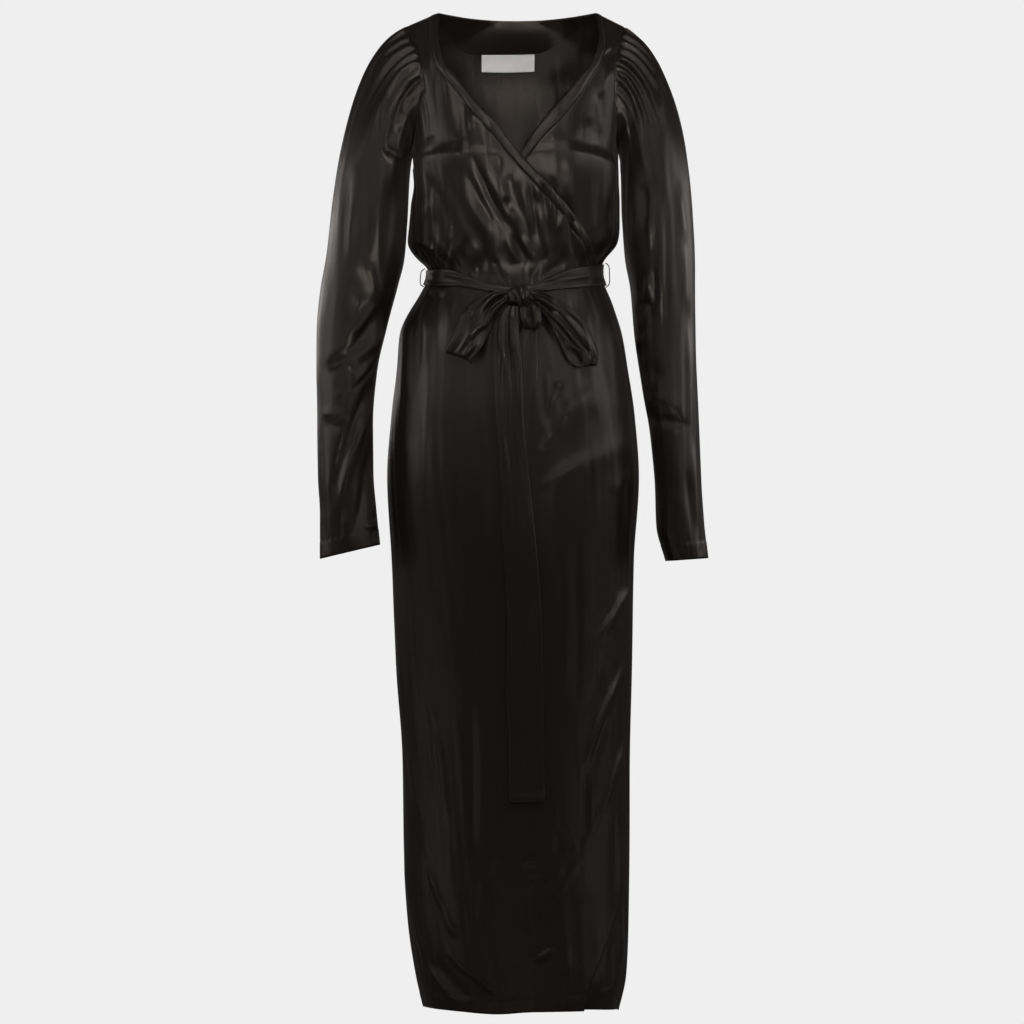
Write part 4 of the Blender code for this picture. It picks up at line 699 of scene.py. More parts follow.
def at_places(at, places, values):
    """Points between given ones along a line."""
    return np.stack([np.interp(at, places, values[:, k]) for k in range(3)], axis=-1)


def blur_weights(spread):
    reach = int(4 * spread)
    return reach, np.exp(-0.5 * (np.arange(-reach, reach + 1) / spread) ** 2)


def blurred(values, spread):
    reach, weights = blur_weights(spread)
    padded = np.pad(values, reach, mode="edge")
    return np.convolve(padded, weights / weights.sum(), mode="valid")


def round_blur(values, spread):
    """Blurs values that run once round a closed loop."""
    reach, weights = blur_weights(spread)
    total = sum(w * np.roll(values, k, axis=0) for k, w in zip(range(-reach, reach + 1), weights))
    return total / weights.sum()


LEVELS = np.arange(-24.0, 1421.0)
BODY = {k: blurred(read(RINGS, LEVELS, k), RING_BLUR) for k in (1, 2, 3, 4)}


def ring(drop, index):
    return np.interp(drop, LEVELS, BODY[index])


def ripples(seed, along, down, width, length):
    """Soft uneven waves between -1 and 1, of about the given width and length."""
    size = RIPPLE_TABLE
    table = np.random.default_rng(seed).uniform(-1.0, 1.0, (size, size))
    along, down = np.broadcast_arrays(along, down)
    u, v = along / width + RIPPLE_START[0], down / length + RIPPLE_START[1]
    i, j = np.floor(u).astype(int), np.floor(v).astype(int)
    s, t = step(u - i, 0.0, 1.0), step(v - j, 0.0, 1.0)
    i, j, k, m = i % size, j % size, (i + 1) % size, (j + 1) % size
    return mixed(mixed(table[i, j], table[k, j], s), mixed(table[i, m], table[k, m], s), t)


def with_waves(height, waves, seed, girth, along):
    """A height with the small waves of a table added."""
    for k, (high, lean, width, length) in enumerate(waves):
        height = height + high * ripples(seed + k, girth + lean * along, along, width, length)
    return height


def fold_relief(folds, x, drop, lining=False):
    """Height of the ridges and troughs at a place; a lining keeps below all of them."""
    uneven, aside, lengthwise = (high * ripples(seed, x, drop, width, length)
                                 for seed, high, width, length in FOLD_WANDER)
    height = np.zeros(np.broadcast(x, drop).shape)
    strength = LINING_STRENGTH if lining else 1.0 + uneven
    run = LINING_RUN if lining else 0.0
    x, drop = x + aside, drop + lengthwise
    for x0, drop0, x1, drop1, bow, width, high, *lean in folds:
        lean = lean[0] if lean else 0.0
        if lining:
            high, width, lean = min(high, 0.0), width * LINING_SPREAD, 0.0
            if high == 0.0:
                continue
        length = math.hypot(x1 - x0, drop1 - drop0)
        along = ((x - x0) * (x1 - x0) + (drop - drop0) * (drop1 - drop0)) / length**2
        across = ((x - x0) * (drop1 - drop0) - (drop - drop0) * (x1 - x0)) / length
        across = across - bow * 4 * along * (1 - along)
        across = across / np.where(across > 0, 1 + lean, 1 - lean)
        ends = step(along, FOLD_START[0] - run, FOLD_START[1] - run)
        ends = ends * step(along, FOLD_END[0] + run, FOLD_END[1] + run)
        height = height + high * ends * bell(across, width)
    return height * strength


def bust_relief(x, drop):
    """The rounding of the bust, and the ledge where the cloth breaks over it."""
    shape = 0.0
    for side in (RIGHT, LEFT):
        away = ((x - side * BUST_APART) / BUST_RADIUS) ** 2
        away = away + ((drop - BUST_CREST_DROP) / (BUST_RADIUS * BUST_FLATTENED)) ** 2
        shape = shape + BUST_HEIGHT * np.exp(-away)
    line, high = read(BUST_LINE, x), read(BUST_LINE, x, 2)
    out = np.clip((drop - line) / (BUST_BREAK * high) + 1, 0.0, 1.0) ** BUST_CURVE
    return shape + high * out * step(drop, BUST_FADE_TO, BUST_FADE_FROM)


def half_width(angle, drop):
    return np.where(np.cos(angle) < 0, ring(drop, 1), ring(drop, 2))


def body_x(angle, drop):
    return half_width(angle, drop) * np.cos(angle)


def shoulder_drop(x):
    """Height of the shoulders' ridge line, which runs on upwards inside the neck."""
    neck = np.where(x < 0, -NECK_RIGHT, NECK_LEFT)
    slope = (SHOULDER_TIP_DROP - NECK_POINT_DROP) / (SHOULDER_TIP_X - neck)
    outside = np.abs(x) - neck
    return NECK_POINT_DROP + np.where(outside > 0, slope, NECK_RISE_INWARD) * outside


def form(face, angle, drop):
    """Points of the plain body form, the way out from it, and how far below the shoulder."""
    half, depth = half_width(angle, drop), ring(drop, 3 if face == FRONT else 4)
    x = half * np.cos(angle)
    rise = FRONT_RISE if face == FRONT else BACK_RISE
    covered = np.clip((drop - shoulder_drop(x)) / rise, 0.0, 1.0)
    ease = 1 - (1 - covered) ** 2
    points = np.stack([x, face * depth * ease * np.sin(angle), -drop + 0 * x], axis=-1)
    out = [depth * np.cos(angle), face * half * np.abs(np.sin(angle)), 0 * x]
    return points, unit(np.stack(out, axis=-1)), ease


def angle_at(x, drop):
    half = np.where(x < 0, ring(drop, 1), ring(drop, 2))
    return np.arccos(np.clip(x / half, -1.0, 1.0))


def front_y(x, drop):
    """Depth of the plain front at a place seen from the front."""
    points, out, ease = form(FRONT, angle_at(x, drop), drop)
    return points[..., 1] + out[..., 1] * bust_relief(x, drop) * ease


def distances(points, edges):
    """How far each point of a grid lies from the named edges, measured on the cloth."""
    first, top = running(gaps(points, 1), 1), running(gaps(points))
    away = {"first": first, "last": first[:, -1:] - first, "top": top, "hem": top[-1:] - top}
    return np.minimum.reduce([away[edge] for edge in edges])


def grid_normals(points, outward, closed=False):
    """Normals of a grid of points, turned to the side that outward points to."""
    if closed:
        over = np.roll(points, -1, axis=1) - np.roll(points, 1, axis=1)
    else:
        over = np.gradient(points, axis=1)
    normals = unit(np.cross(over, np.gradient(points, axis=0)))
    return normals * np.sign(np.sum(normals * outward))


# Pieces

def wrapped(grid):
    """A grid with its first column once more after its last."""
    return np.concatenate([grid, grid[:, :1]], axis=1)


def numbered(rows, columns):
    return np.arange(rows * columns).reshape(rows, columns)


def corners(grid):
    """The four corners of each cell of a grid."""
    a, b, c, d = grid[:-1, :-1], grid[:-1, 1:], grid[1:, 1:], grid[1:, :-1]
    return np.stack([a, b, c, d], axis=-1).reshape(-1, 4)


def link(item):
    bpy.context.scene.collection.objects.link(item)
    return item


def new_object(name, ending, points, faces, materials):
    """A smooth mesh object in the scene, from points and faces in metres."""
    mesh = bpy.data.meshes.new(name)
    mesh.from_pydata(points, [], faces)
    for material in materials:
        mesh.materials.append(material)
    mesh.shade_smooth()
    return link(bpy.data.objects.new(name + ending, mesh))


def claim(piece, node=None):
    """Hangs a piece on the root's empty, which it moves with, and hides the imported node it
    replaces.
    """
    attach(piece, "root")
    if node:
        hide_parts(node)


def cloth(name, points, outward, thick=None, materials=None, slot="satin", closed=False):
    """A sheet of cloth with real thickness on a grid of points, with its own UV in metres."""
    materials = materials or (SATIN, SATIN_INSIDE)
    wide, index = points, numbered(*points.shape[:2])
    if closed:
        wide, index = wrapped(points), wrapped(index)
    u = running(gaps(wide, 1), 1)
    u = u - u.mean(axis=1, keepdims=True)
    v = running(gaps(wide).mean(axis=1))[:, None] + 0 * u
    uv = np.stack([u, v], axis=-1).reshape(-1, 2) * MM
    faces, spots = corners(index), corners(numbered(*wide.shape[:2]))
    over, below = np.diff(wide, axis=1)[:-1], np.diff(wide, axis=0)[:, :-1]
    if np.sum(np.cross(over, below) * outward[:-1, :over.shape[1]]) < 0:
        faces, spots = faces[:, ::-1], spots[:, ::-1]
    verts = (points.reshape(-1, 3) * MM).tolist()
    piece = new_object(name, "_cloth", verts, faces.tolist(), materials)
    layer = piece.data.uv_layers.new(name="cloth")
    layer.data.foreach_set("uv", uv[spots.ravel()].ravel())
    wall = piece.modifiers.new("wall", "SOLIDIFY")
    wall.thickness, wall.offset = (thick or SATIN_THICK) * MM, 0.0
    wall.use_even_offset = False
    wall.material_offset = len(materials) - 1
    bpy.context.view_layer.objects.active = piece
    bpy.ops.object.modifier_apply(modifier="wall")
    piece.data.shade_smooth()
    claim(piece, name)


def side_edge(side, rows):
    """Angles and drops down the armhole and then the side seam."""
    drops = SHOULDER_TIP_DROP + (SIDE_WAIST_DROP - SHOULDER_TIP_DROP) * rows
    which = 1 if side == RIGHT else 2
    near = read(ARMHOLE, drops, which) / ring(drops, which)
    near = near + (1 - near) * step(drops, UNDERARM_DROP - UNDERARM_ROUND, UNDERARM_DROP)
    return np.arccos(np.clip(side * near, -1.0, 1.0)), drops


def neck_edge(table, rows, inset):
    """Angles and drops down a front's neck edge (inset 0), or down its band's seam (1)."""
    drops = NECK_POINT_DROP + (table[-1][0] - NECK_POINT_DROP) * rows
    side = RIGHT if table[0][1] < 0 else LEFT
    x = read(table, drops) + side * inset * read(table, drops, 2)
    return angle_at(x, drops), drops


def between(first, second, share):
    """Angles and drops of a grid between two edges, each a pair of angles and drops."""
    return (mixed(a[:, None], b[:, None], share) for a, b in zip(first, second))


def waist_drop(face, x):
    if face == FRONT:
        return read(WAIST, x)
    return BACK_WAIST_DROP - BACK_WAIST_TILT * x / WAIST_HALF


def fit_ends(face, angles, drops, rows, top_drop):
    """Bends the first row on to the shoulder or neck line and the last on to the waist."""
    fraction = rows[:, None]
    for _ in range(3):
        x = body_x(angles, drops)
        top = top_drop(x[0]) - drops[0]
        bottom = waist_drop(face, x[-1]) - drops[-1]
        drops = drops + top * (1 - fraction) ** 3 + bottom * fraction**2
    return drops


def drape(face, angles, drops, folds, level=0.0, covered=0.0, over=(), seams=(), seed=1,
          waist=0.0, unevenness=1.0):
    """The cloth of one panel on the body: its folds, small ripples, gathers and seams."""
    points, out, ease = form(face, angles, drops)
    x, girth = points[..., 0], angles * BODY_RADIUS
    off_side = np.abs(np.sin(angles))
    height = fold_relief(folds, x, drops) * (1 - covered)
    if over:
        height = height + fold_relief(over, x, drops, True) * covered
    height = height * step(off_side, 0.0, FOLDS_OFF_SIDE)
    if face == FRONT:
        height = height + bust_relief(x, drops) * step(off_side, 0.0, BUST_OFF_SIDE)
    soft = with_waves(0.0, PANEL_WAVES, seed, girth, drops)
    restless = 1.0 + BODICE_UNREST * step(drops, *BODICE_UNREST_DROPS)
    restless = restless - SKIRT_CALM * step(drops, *SKIRT_CALM_DROPS)
    height = height + soft * unevenness * restless
    below, above = waist_drop(face, x) - drops, drops - waist_drop(face, x)
    gather = ripples(seed + len(PANEL_WAVES), girth, drops, *GATHER_SIZE)
    near_waist = step(below, *GATHERS_START) * step(below, *GATHERS_END)
    on_skirt = step(above, *SKIRT_GATHERS_START) * step(above, *SKIRT_GATHERS_END)
    near_waist = near_waist + on_skirt * SKIRT_GATHERS
    height = (height + waist * gather * near_waist) * ease
    if seams:
        height = height - SEAM_DIP * bell(distances(points, seams), SEAM_WIDTH)
    return points + out * (height + level)[..., None], out


def front_bodice(name, band, table, side, level, folds, over, seed, unevenness):
    """One front of the bodice and its neck band; gives its side edge and the normals there."""
    rows, across = even(GRIDS[name][0]), even(GRIDS[name][1])[None, :]
    angles, drops = between(neck_edge(table, rows, 1.0), side_edge(side, rows), across)
    drops = fit_ends(FRONT, angles, drops, rows, shoulder_drop)

    def part(piece, angles, drops, lift, seams):
        levels, covered = level(angles, drops, rows[:, None])
        points, out = drape(FRONT, angles, drops, folds, levels + lift, covered, over, seams,
                            seed, FRONT_GATHER, unevenness)
        cloth(piece, points, out)
        return points, out

    points, out = part(name, angles, drops, 0.0, ("first", "last", "top"))
    strip = even(BAND_COLUMNS)[None, :]
    seam = angles[:, 0], drops[:, 0]
    band_angles, band_drops = between(neck_edge(table, rows, 0.0), seam, strip)
    roll = BAND_CROWN * np.sin(math.pi * strip**BAND_CROWN_LEAN)
    roll = roll + BAND_ROLL * step(band_drops, *BAND_ROLL_DROPS) * np.sin(math.pi * strip)
    roll = roll - BAND_EDGE_DIP * bell(strip, BAND_EDGE) - SEAM_DIP * bell(1 - strip, BAND_SEAM)
    part(band, band_angles, band_drops, roll, ())
    return rows, points[:, -1], grid_normals(points, out)[:, -1]


def over_level(angles, drops, rows):
    return 0.0 * angles, 0.0 * angles


def under_level(angles, drops, rows):
    """The under front sinks below the over front away from its own seams."""
    inside = step(angles, 0.0, SINK_ANGLE) * step(rows, 0.0, UNDER_SINK_ROWS)
    levels = inside * (UNDER_LEVEL + UNDER_WAIST_LEVEL * step(rows, *UNDER_WAIST_ROWS))
    return levels, step(body_x(angles, drops) - read(OVER_EDGE, drops), *BODICE_COVER)


def back_neck_drop(x):
    near = np.where(x < 0, x / NECK_RIGHT, x / NECK_LEFT)
    return BACK_NECK_CENTRE_DROP + (NECK_POINT_DROP - BACK_NECK_CENTRE_DROP) * near**2


def back_top_drop(x):
    """The top of the back: the shoulder lines with the neck's curve between them."""
    inside = (x > NECK_RIGHT) & (x < NECK_LEFT)
    return np.where(inside, back_neck_drop(x), shoulder_drop(x))


def back_bodice():
    """The back of the bodice; gives its right and left side edge with the normals there."""
    rows, across = even(GRIDS["bodice_back"][0]), even(GRIDS["bodice_back"][1])[None, :]
    angles, drops = between(side_edge(LEFT, rows), side_edge(RIGHT, rows), across)
    drops = fit_ends(BACK, angles, drops, rows, back_top_drop)
    points, out = drape(BACK, angles, drops, BACK_BODICE, seams=("first", "last", "top"),
                        seed=31, waist=BACK_GATHER)
    cloth("bodice_back", points, out)
    normals = grid_normals(points, out)
    return [(rows, points[:, k], normals[:, k]) for k in (-1, 0)]


def inside_back(name, x, low, high, level, thick, material, slot):
    """A layer that lies on the inside of the back, between two lines of drops."""
    drops = mixed(low[None, :], high[None, :], even(INSIDE_ROWS)[:, None])
    x = x[None, :] + 0 * drops
    points, out, ease = form(BACK, angle_at(x, drops), drops)
    points = points + out * (level * np.maximum(ease, INSIDE_LEAST_EASE))[..., None]
    cloth(name, points, -out, thick, (material,), slot)


def back_neck():
    x = np.linspace(NECK_RIGHT + FACING_INSET, NECK_LEFT - FACING_INSET, FACING_COLUMNS)
    inside_back("back_neck_facing", x, back_neck_drop(x) + FACING_BELOW_EDGE, read(FACING_EDGE, x),
                FACING_LEVEL, SATIN_THICK, SATIN, "satin")
    x = np.linspace(LABEL_FROM, LABEL_TO, LABEL_COLUMNS)
    low = read(FACING_EDGE, x) + LABEL_BELOW_FACING
    bow = LABEL_BOW * np.sin(np.linspace(0.0, math.pi, LABEL_COLUMNS))
    inside_back("label", x, low, low + LABEL_HEIGHT + bow, LABEL_LEVEL - bow[None, :],
                LABEL_THICK, LABEL_WHITE, "label_white")


def skirt_grid(name):
    """Rows of a skirt panel, close together at both ends, their drops and its columns."""
    rows, columns = GRIDS[name]
    rows = even(rows) - ROWS_CROWD * np.sin(2 * math.pi * even(rows))
    return rows, SKIRT_TOP + (SKIRT_HEM - SKIRT_TOP) * rows, even(columns)[None, :]


def skirt_drops(face, angles, rows, short=0.0):
    """Drops of a skirt panel's grid, from the waist line to the hem line."""
    drops = np.full(angles.shape, 400.0)
    for _ in range(4):
        x = body_x(angles, drops)
        drops = mixed(waist_drop(face, x[:1]), read(HEM, x[-1:]) - short, rows[:, None])
    return drops


def hem_relief(points):
    """The turned hem: a slightly thicker edge with a soft line above it."""
    away = distances(points, ("hem",))
    edge = HEM_RISE * step(away, HEM_DEPTH + TURN_EDGE, HEM_DEPTH - TURN_EDGE)
    return edge - HEM_LINE * bell(away - HEM_DEPTH, HEM_LINE_WIDTH)


def skirt():
    name = "skirt_front_over"
    rows, drops, across = skirt_grid(name)
    edge = angle_at(read(WRAP_EDGE, drops), drops)
    angles = mixed(edge[:, None], math.pi, across)
    drops = skirt_drops(FRONT, angles, rows)
    plain = form(FRONT, angles, drops)[0]
    lifted = WRAP_LIFT * bell(distances(plain, ("first",)), WRAP_LIFT_WIDTH)
    lifted = lifted * step(drops, *WRAP_LIFT_DROPS)
    cloth(name, *drape(FRONT, angles, drops, SKIRT, lifted + hem_relief(plain),
                       seams=("last", "top"), seed=51, waist=OVER_SKIRT_GATHER))

    name = "skirt_front_under"
    rows, drops, across = skirt_grid(name)
    far_edge = angle_at(UNDER_EDGE[-1][1] + UNDER_EDGE[-1][2], drops)
    angles = far_edge[:, None] * across
    drops = skirt_drops(FRONT, angles, rows, UNDER_SKIRT_SHORT)
    near_waist = step(rows, *UNDER_SKIRT_WAIST_ROWS)[:, None]
    level = step(angles, 0.0, SINK_ANGLE) * (UNDER_LEVEL + UNDER_WAIST_LEVEL * near_waist)
    covered = step(body_x(angles, drops) - read(WRAP_EDGE, drops), *SKIRT_COVER)
    level = level + COVERED_LEVEL * covered * step(rows, *COVERED_SKIRT_ROWS)[:, None]
    cloth(name, *drape(FRONT, angles, drops, SKIRT_UNDER, level, covered, SKIRT,
                       ("first", "top"), 71, 0.0, UNDER_UNEVENNESS))

    name = "skirt_back"
    rows, drops, across = skirt_grid(name)
    angles = np.full((len(rows), 1), math.pi) * across
    drops = skirt_drops(BACK, angles, rows)
    plain = form(BACK, angles, drops)[0]
    cloth(name, *drape(BACK, angles, drops, BACK_SKIRT, hem_relief(plain),
                       seams=("first", "last", "top"), seed=91, waist=BACK_SKIRT_GATHER))


def armhole_loop(side, front, back, place, up):
    """The armhole from the underarm up the front and down the back, with its normals."""
    steps = running(np.array(ARMHOLE_SPLITS)) / sum(ARMHOLE_SPLITS)
    share = (UNDERARM_DROP - SHOULDER_TIP_DROP) / (SIDE_WAIST_DROP - SHOULDER_TIP_DROP)
    rows_up = 1 - np.interp(up, steps, even(len(steps)))
    at = share * rows_up**ROWS_CROWD_UPWARDS
    on_front = (place <= 1)[:, None]
    points, normals = (np.where(on_front, at_places(at, front[0], front[k]),
                                at_places(at, back[0], back[k])) for k in (1, 2))
    normals = unit(round_blur(normals, ARMHOLE_BLUR[0]))
    along = unit(np.roll(points, -1, axis=0) - np.roll(points, 1, axis=0))
    off_edge = unit(round_blur(side * np.cross(along, normals), ARMHOLE_BLUR[1]))
    return points, normals, off_edge


def sleeve_rings(side, table, turn, count):
    """Points round the sleeve at even steps down its table, turn 0 at the body."""
    inner, inner_drop, outer, outer_drop, middle, half = read_rows(table, count)[1]
    share = (1 - np.cos(turn))[None, :] / 2
    x = side * (inner + (outer - inner) * share)
    drop = inner_drop + (outer_drop - inner_drop) * share
    y = middle - half * np.sin(turn)[None, :]
    return np.stack([x, y, -drop], axis=-1)


def sleeve(name, side, table, folds, gathers, front, back, seed):
    """One sleeve, gathered into the armhole; gives the line of its cuff's stitches."""
    place = np.arange(SLEEVE_COLUMNS) * 2.0 / SLEEVE_COLUMNS
    up = np.where(place > 1, 2 - place, place)
    turn = 2 * math.pi * np.arange(SLEEVE_COLUMNS) / SLEEVE_COLUMNS
    start, start_normals, outward = armhole_loop(side, front, back, place, up)
    rings = sleeve_rings(side, table, turn, ARM_ROWS)
    first_gap = sleeve_rings(side, table, turn, len(table))
    leave, puff, arrive = (read(SLEEVE_HEAD, up, k)[:, None] for k in (1, 2, 3))
    reach = np.linalg.norm(rings[0] - start, axis=1)[:, None]
    away = unit(outward + puff * start_normals) * leave * reach
    down = unit(first_gap[1] - first_gap[0]) * arrive * reach
    head = [eased(start, rings[0], t) + t * (1 - t) ** 2 * away - t * t * (1 - t) * down
            for t in even(HEAD_ROWS) ** HEAD_ROWS_CROWD]
    grid = np.concatenate([np.array(head), rings[1:]])
    middle = grid.mean(axis=1, keepdims=True)
    normals = grid_normals(grid, grid - middle, True)
    along = running(gaps(grid))
    height = np.zeros(grid.shape[:2])
    for on_part, rows in zip((place <= 1, place > 1), gathers):
        for at, drift, width, high, length in rows:
            off = up[None, :] - at - drift * along / 100.0
            fade = step(along, 0.0, GATHER_RISE) * step(along, length, length * GATHER_FADE)
            height = height + np.where(on_part[None, :], high * bell(off, width), 0.0) * fade
    small = ripples(seed, place[None, :] * CAP_PLEATS, along, *CAP_PLEAT_SIZE)
    small = CAP_PLEAT_HEIGHT * small * step(up, *CAP_PLACES)[None, :]
    height = height + small * step(along, *CAP_PLEAT_RISE) * step(along, *CAP_PLEAT_FADE)
    girth = place[None, :] * SLEEVE_HALF_GIRTH
    height = with_waves(height, SLEEVE_WAVES, seed + 1, girth, along)
    x, drop = grid[..., 0], -grid[..., 2]
    own = fold_relief(folds, x, drop)
    hidden = BEHIND_FOLDS * fold_relief(folds, 2 * middle[..., 0] - x, drop + BEHIND_LOWER)
    folded = np.where(normals[..., 1] < 0, own, hidden)
    folded = folded * step(np.abs(normals[..., 1]), *SLEEVE_FLANK)
    calm_cuff = 1 - CUFF_CALM * step(drop, *CUFF_CALM_DROPS)
    height = height + folded * step(along, *SLEEVE_FOLDS_FROM) * calm_cuff
    to_cuff = along[-1:] - along
    height = height + CUFF_RISE * step(to_cuff, CUFF_DEPTH + TURN_EDGE, CUFF_DEPTH - TURN_EDGE)
    height = height - CUFF_LINE * bell(to_cuff - CUFF_DEPTH, CUFF_LINE_WIDTH)
    height = height - SEAM_DIP * bell(along, SEAM_WIDTH)
    points = grid + normals * height[..., None]
    cloth(name, points, grid - middle, closed=True)
    shown = grid_normals(points, grid - middle, True)
    at = np.argmin(np.abs(to_cuff - CUFF_DEPTH), axis=0), np.arange(SLEEVE_COLUMNS)
    return points[at], shown[at]


def belt():
    """The tie round the waist, narrowest where the knot gathers it."""
    rows, front_columns, back_columns = BELT_GRID
    front = np.linspace(0.0, math.pi, front_columns)
    back = np.linspace(math.pi, 2 * math.pi, back_columns)[1:-1]
    across = np.linspace(-1.0, 1.0, rows)[:, None]
    parts = []
    for face, turns, table in ((FRONT, front, BELT_FRONT), (BACK, back, BELT_BACK)):
        angles = np.where(turns > math.pi, 2 * math.pi - turns, turns)
        x = body_x(angles, SKIRT_TOP)
        half = read(table, x, 2)
        drops = read(table, x) + half * across
        points, out, _ = form(face, angles, drops)
        girth = turns * WAIST_RADIUS
        squeeze = np.clip((BELT_FLAT_HALF - half) / BELT_SQUEEZE, BELT_LEAST_SQUEEZE, 1.0)
        level = BELT_LEVEL + BELT_RISE + bust_relief(points[..., 0], drops) * (face == FRONT)
        for seed, turns_across, high in BELT_WAVES:
            slant = across * turns_across + BELT_WAVE_SLANT * girth
            level = level + ripples(seed, slant, girth, *BELT_WAVE_SIZE) * squeeze * high
        level = level + fold_relief(BELT_CREASES, points[..., 0], drops) * (face == FRONT)
        level = level - BELT_EDGE_DIP * np.abs(across) ** 8
        parts.append((points + out * np.maximum(level, BELT_LEVEL - BELT_SINK)[..., None], out))
    points, out = (np.concatenate(halves, axis=1) for halves in zip(*parts))
    cloth("belt", points, out, TIE_THICK, closed=True)


def knot():
    """The wrapped knot: a short bundle with the creases of its turns running over it."""
    x0, drop0 = KNOT_MIDDLE
    half_x, half_z, half_y = KNOT_HALF
    y0 = float(front_y(np.array(x0), np.array(drop0))) - KNOT_LIFT
    tilt = np.linspace(KNOT_END, math.pi - KNOT_END, KNOT_RINGS)[:, None]
    turn = np.linspace(0.0, 2 * math.pi, KNOT_COLUMNS, endpoint=False)[None, :]
    slant, bend = KNOT_SLANT
    place = tilt + slant * np.sin(turn + 0.4) + bend * np.sin(2 * turn)
    (broad, few), (fine, many) = KNOT_PLIES
    wave = broad * np.cos(few * place + 0.7) + fine * np.cos(many * place + 2.0 * np.cos(turn))
    for at, wide, deep in KNOT_CREASES:
        wave = wave - deep * bell(place - at, wide)
    spread = np.sin(tilt) ** KNOT_SQUARENESS * (1 + wave * np.sin(tilt))
    x = x0 - half_x * np.cos(tilt) * (1 + KNOT_BULGE * np.sin(3 * turn)) + 0 * turn
    y = y0 - half_y * spread * np.cos(turn)
    z = -drop0 + half_z * spread * np.sin(turn) * (1 - KNOT_TAPER * np.cos(tilt))
    points = np.stack([x, y, z], axis=-1)
    outward = points - np.array([x0, y0, -drop0])
    cloth("belt_knot", points, outward, materials=(SATIN,), closed=True)


def ribbon(name, table, creases, columns, between_rows, seed, hem):
    """A tie end whose rows lie across it, off the front of the skirt."""
    fine, values = read_rows(table, between_rows * (len(table) - 1) + 1)
    x0, drop0, lift0, x1, drop1, lift1, crown = values
    across = even(columns)[None, :]
    x, drop = mixed(x0, x1, across), mixed(drop0, drop1, across)
    lift = mixed(lift0, lift1, across) + crown * np.sin(math.pi * across)
    points = np.stack([x, front_y(x, drop) - lift, -drop], axis=-1)
    normals = unit(np.cross(np.gradient(points, axis=0), np.gradient(points, axis=1)))
    width = np.linalg.norm(points[:, -1:] - points[:, :1], axis=-1)
    squeeze = np.clip((TIE_WIDTH - width) / TIE_WIDTH, 0.0, TIE_MOST_SQUEEZE)
    along = running(gaps(points[:, columns // 2]))[:, None]
    wave = 0.0
    for k, (turns, length, high) in enumerate(TIE_CREASES):
        wave = wave + ripples(seed + k, across * turns, along, 1.0, length) * high * squeeze
    wave = with_waves(wave, TIE_WAVES, seed + len(TIE_CREASES), across * TIE_WAVES_WIDTH, along)
    if hem:
        end = along[-1] - along
        for at, wide, high in TIE_HEM:
            wave = wave + high * bell(end - at, wide)
    pressed = fold_relief(creases, TIE_WIDTH * across, CREASE_ROW * fine[:, None])
    wave = wave + pressed * (CREASE_LEAST + CREASE_SQUEEZE * squeeze)
    cloth(name, points + normals * wave[..., None], normals, TIE_THICK, (SATIN,))


def stitch_row(name, points, normals, stitch):
    """A row of stitches, each a small rounded thread, along a line on the cloth."""
    along = running(gaps(points))
    count = int(along[-1] / STITCH_PITCH)
    at = (np.arange(count) + 0.5) * STITCH_PITCH
    spots = at_places(at, along, points)
    ahead = unit(at_places(at + 0.5, along, points) - spots)
    out = unit(at_places(at, along, normals))
    side = unit(np.cross(ahead, out))
    shape, faces = stitch
    placed = spots[:, None] + shape[:, :1] * ahead[:, None] + shape[:, 1:2] * side[:, None]
    placed = placed + (shape[:, 2:3] + SATIN_THICK / 2) * out[:, None]
    faces = [[corner + len(shape) * k for corner in face] for k in range(count) for face in faces]
    verts = (placed.reshape(-1, 3) * MM).tolist()
    claim(new_object(name, "", verts, faces, (THREAD_DARK,)))


def edit(*jobs):
    """Runs jobs on the active object in its edit mode."""
    bpy.ops.object.mode_set(mode="EDIT")
    for job, settings in jobs:
        job(**settings)
    bpy.ops.object.mode_set(mode="OBJECT")


def stitch_shape():
    """One stitch, made from a short cylinder: its points and faces in millimetres."""
    bpy.ops.object.select_all(action="DESELECT")
    bpy.ops.mesh.primitive_cylinder_add(vertices=6, radius=STITCH_RADIUS, depth=STITCH_LENGTH,
                                        rotation=(0, math.pi / 2, 0))
    item = bpy.context.object
    bpy.ops.object.transform_apply(location=False, rotation=True, scale=True)
    edit((bpy.ops.mesh.select_all, {"action": "DESELECT"}),
         (bpy.ops.mesh.select_mode, {"type": "FACE"}))
    for face in item.data.polygons:
        face.select = abs(face.normal.x) > 0.9
    edit((bpy.ops.mesh.inset, STITCH_END))
    shape = np.array([vertex.co for vertex in item.data.vertices])
    faces = [tuple(face.vertices) for face in item.data.polygons]
    bpy.data.objects.remove(item, do_unlink=True)
    return shape, faces


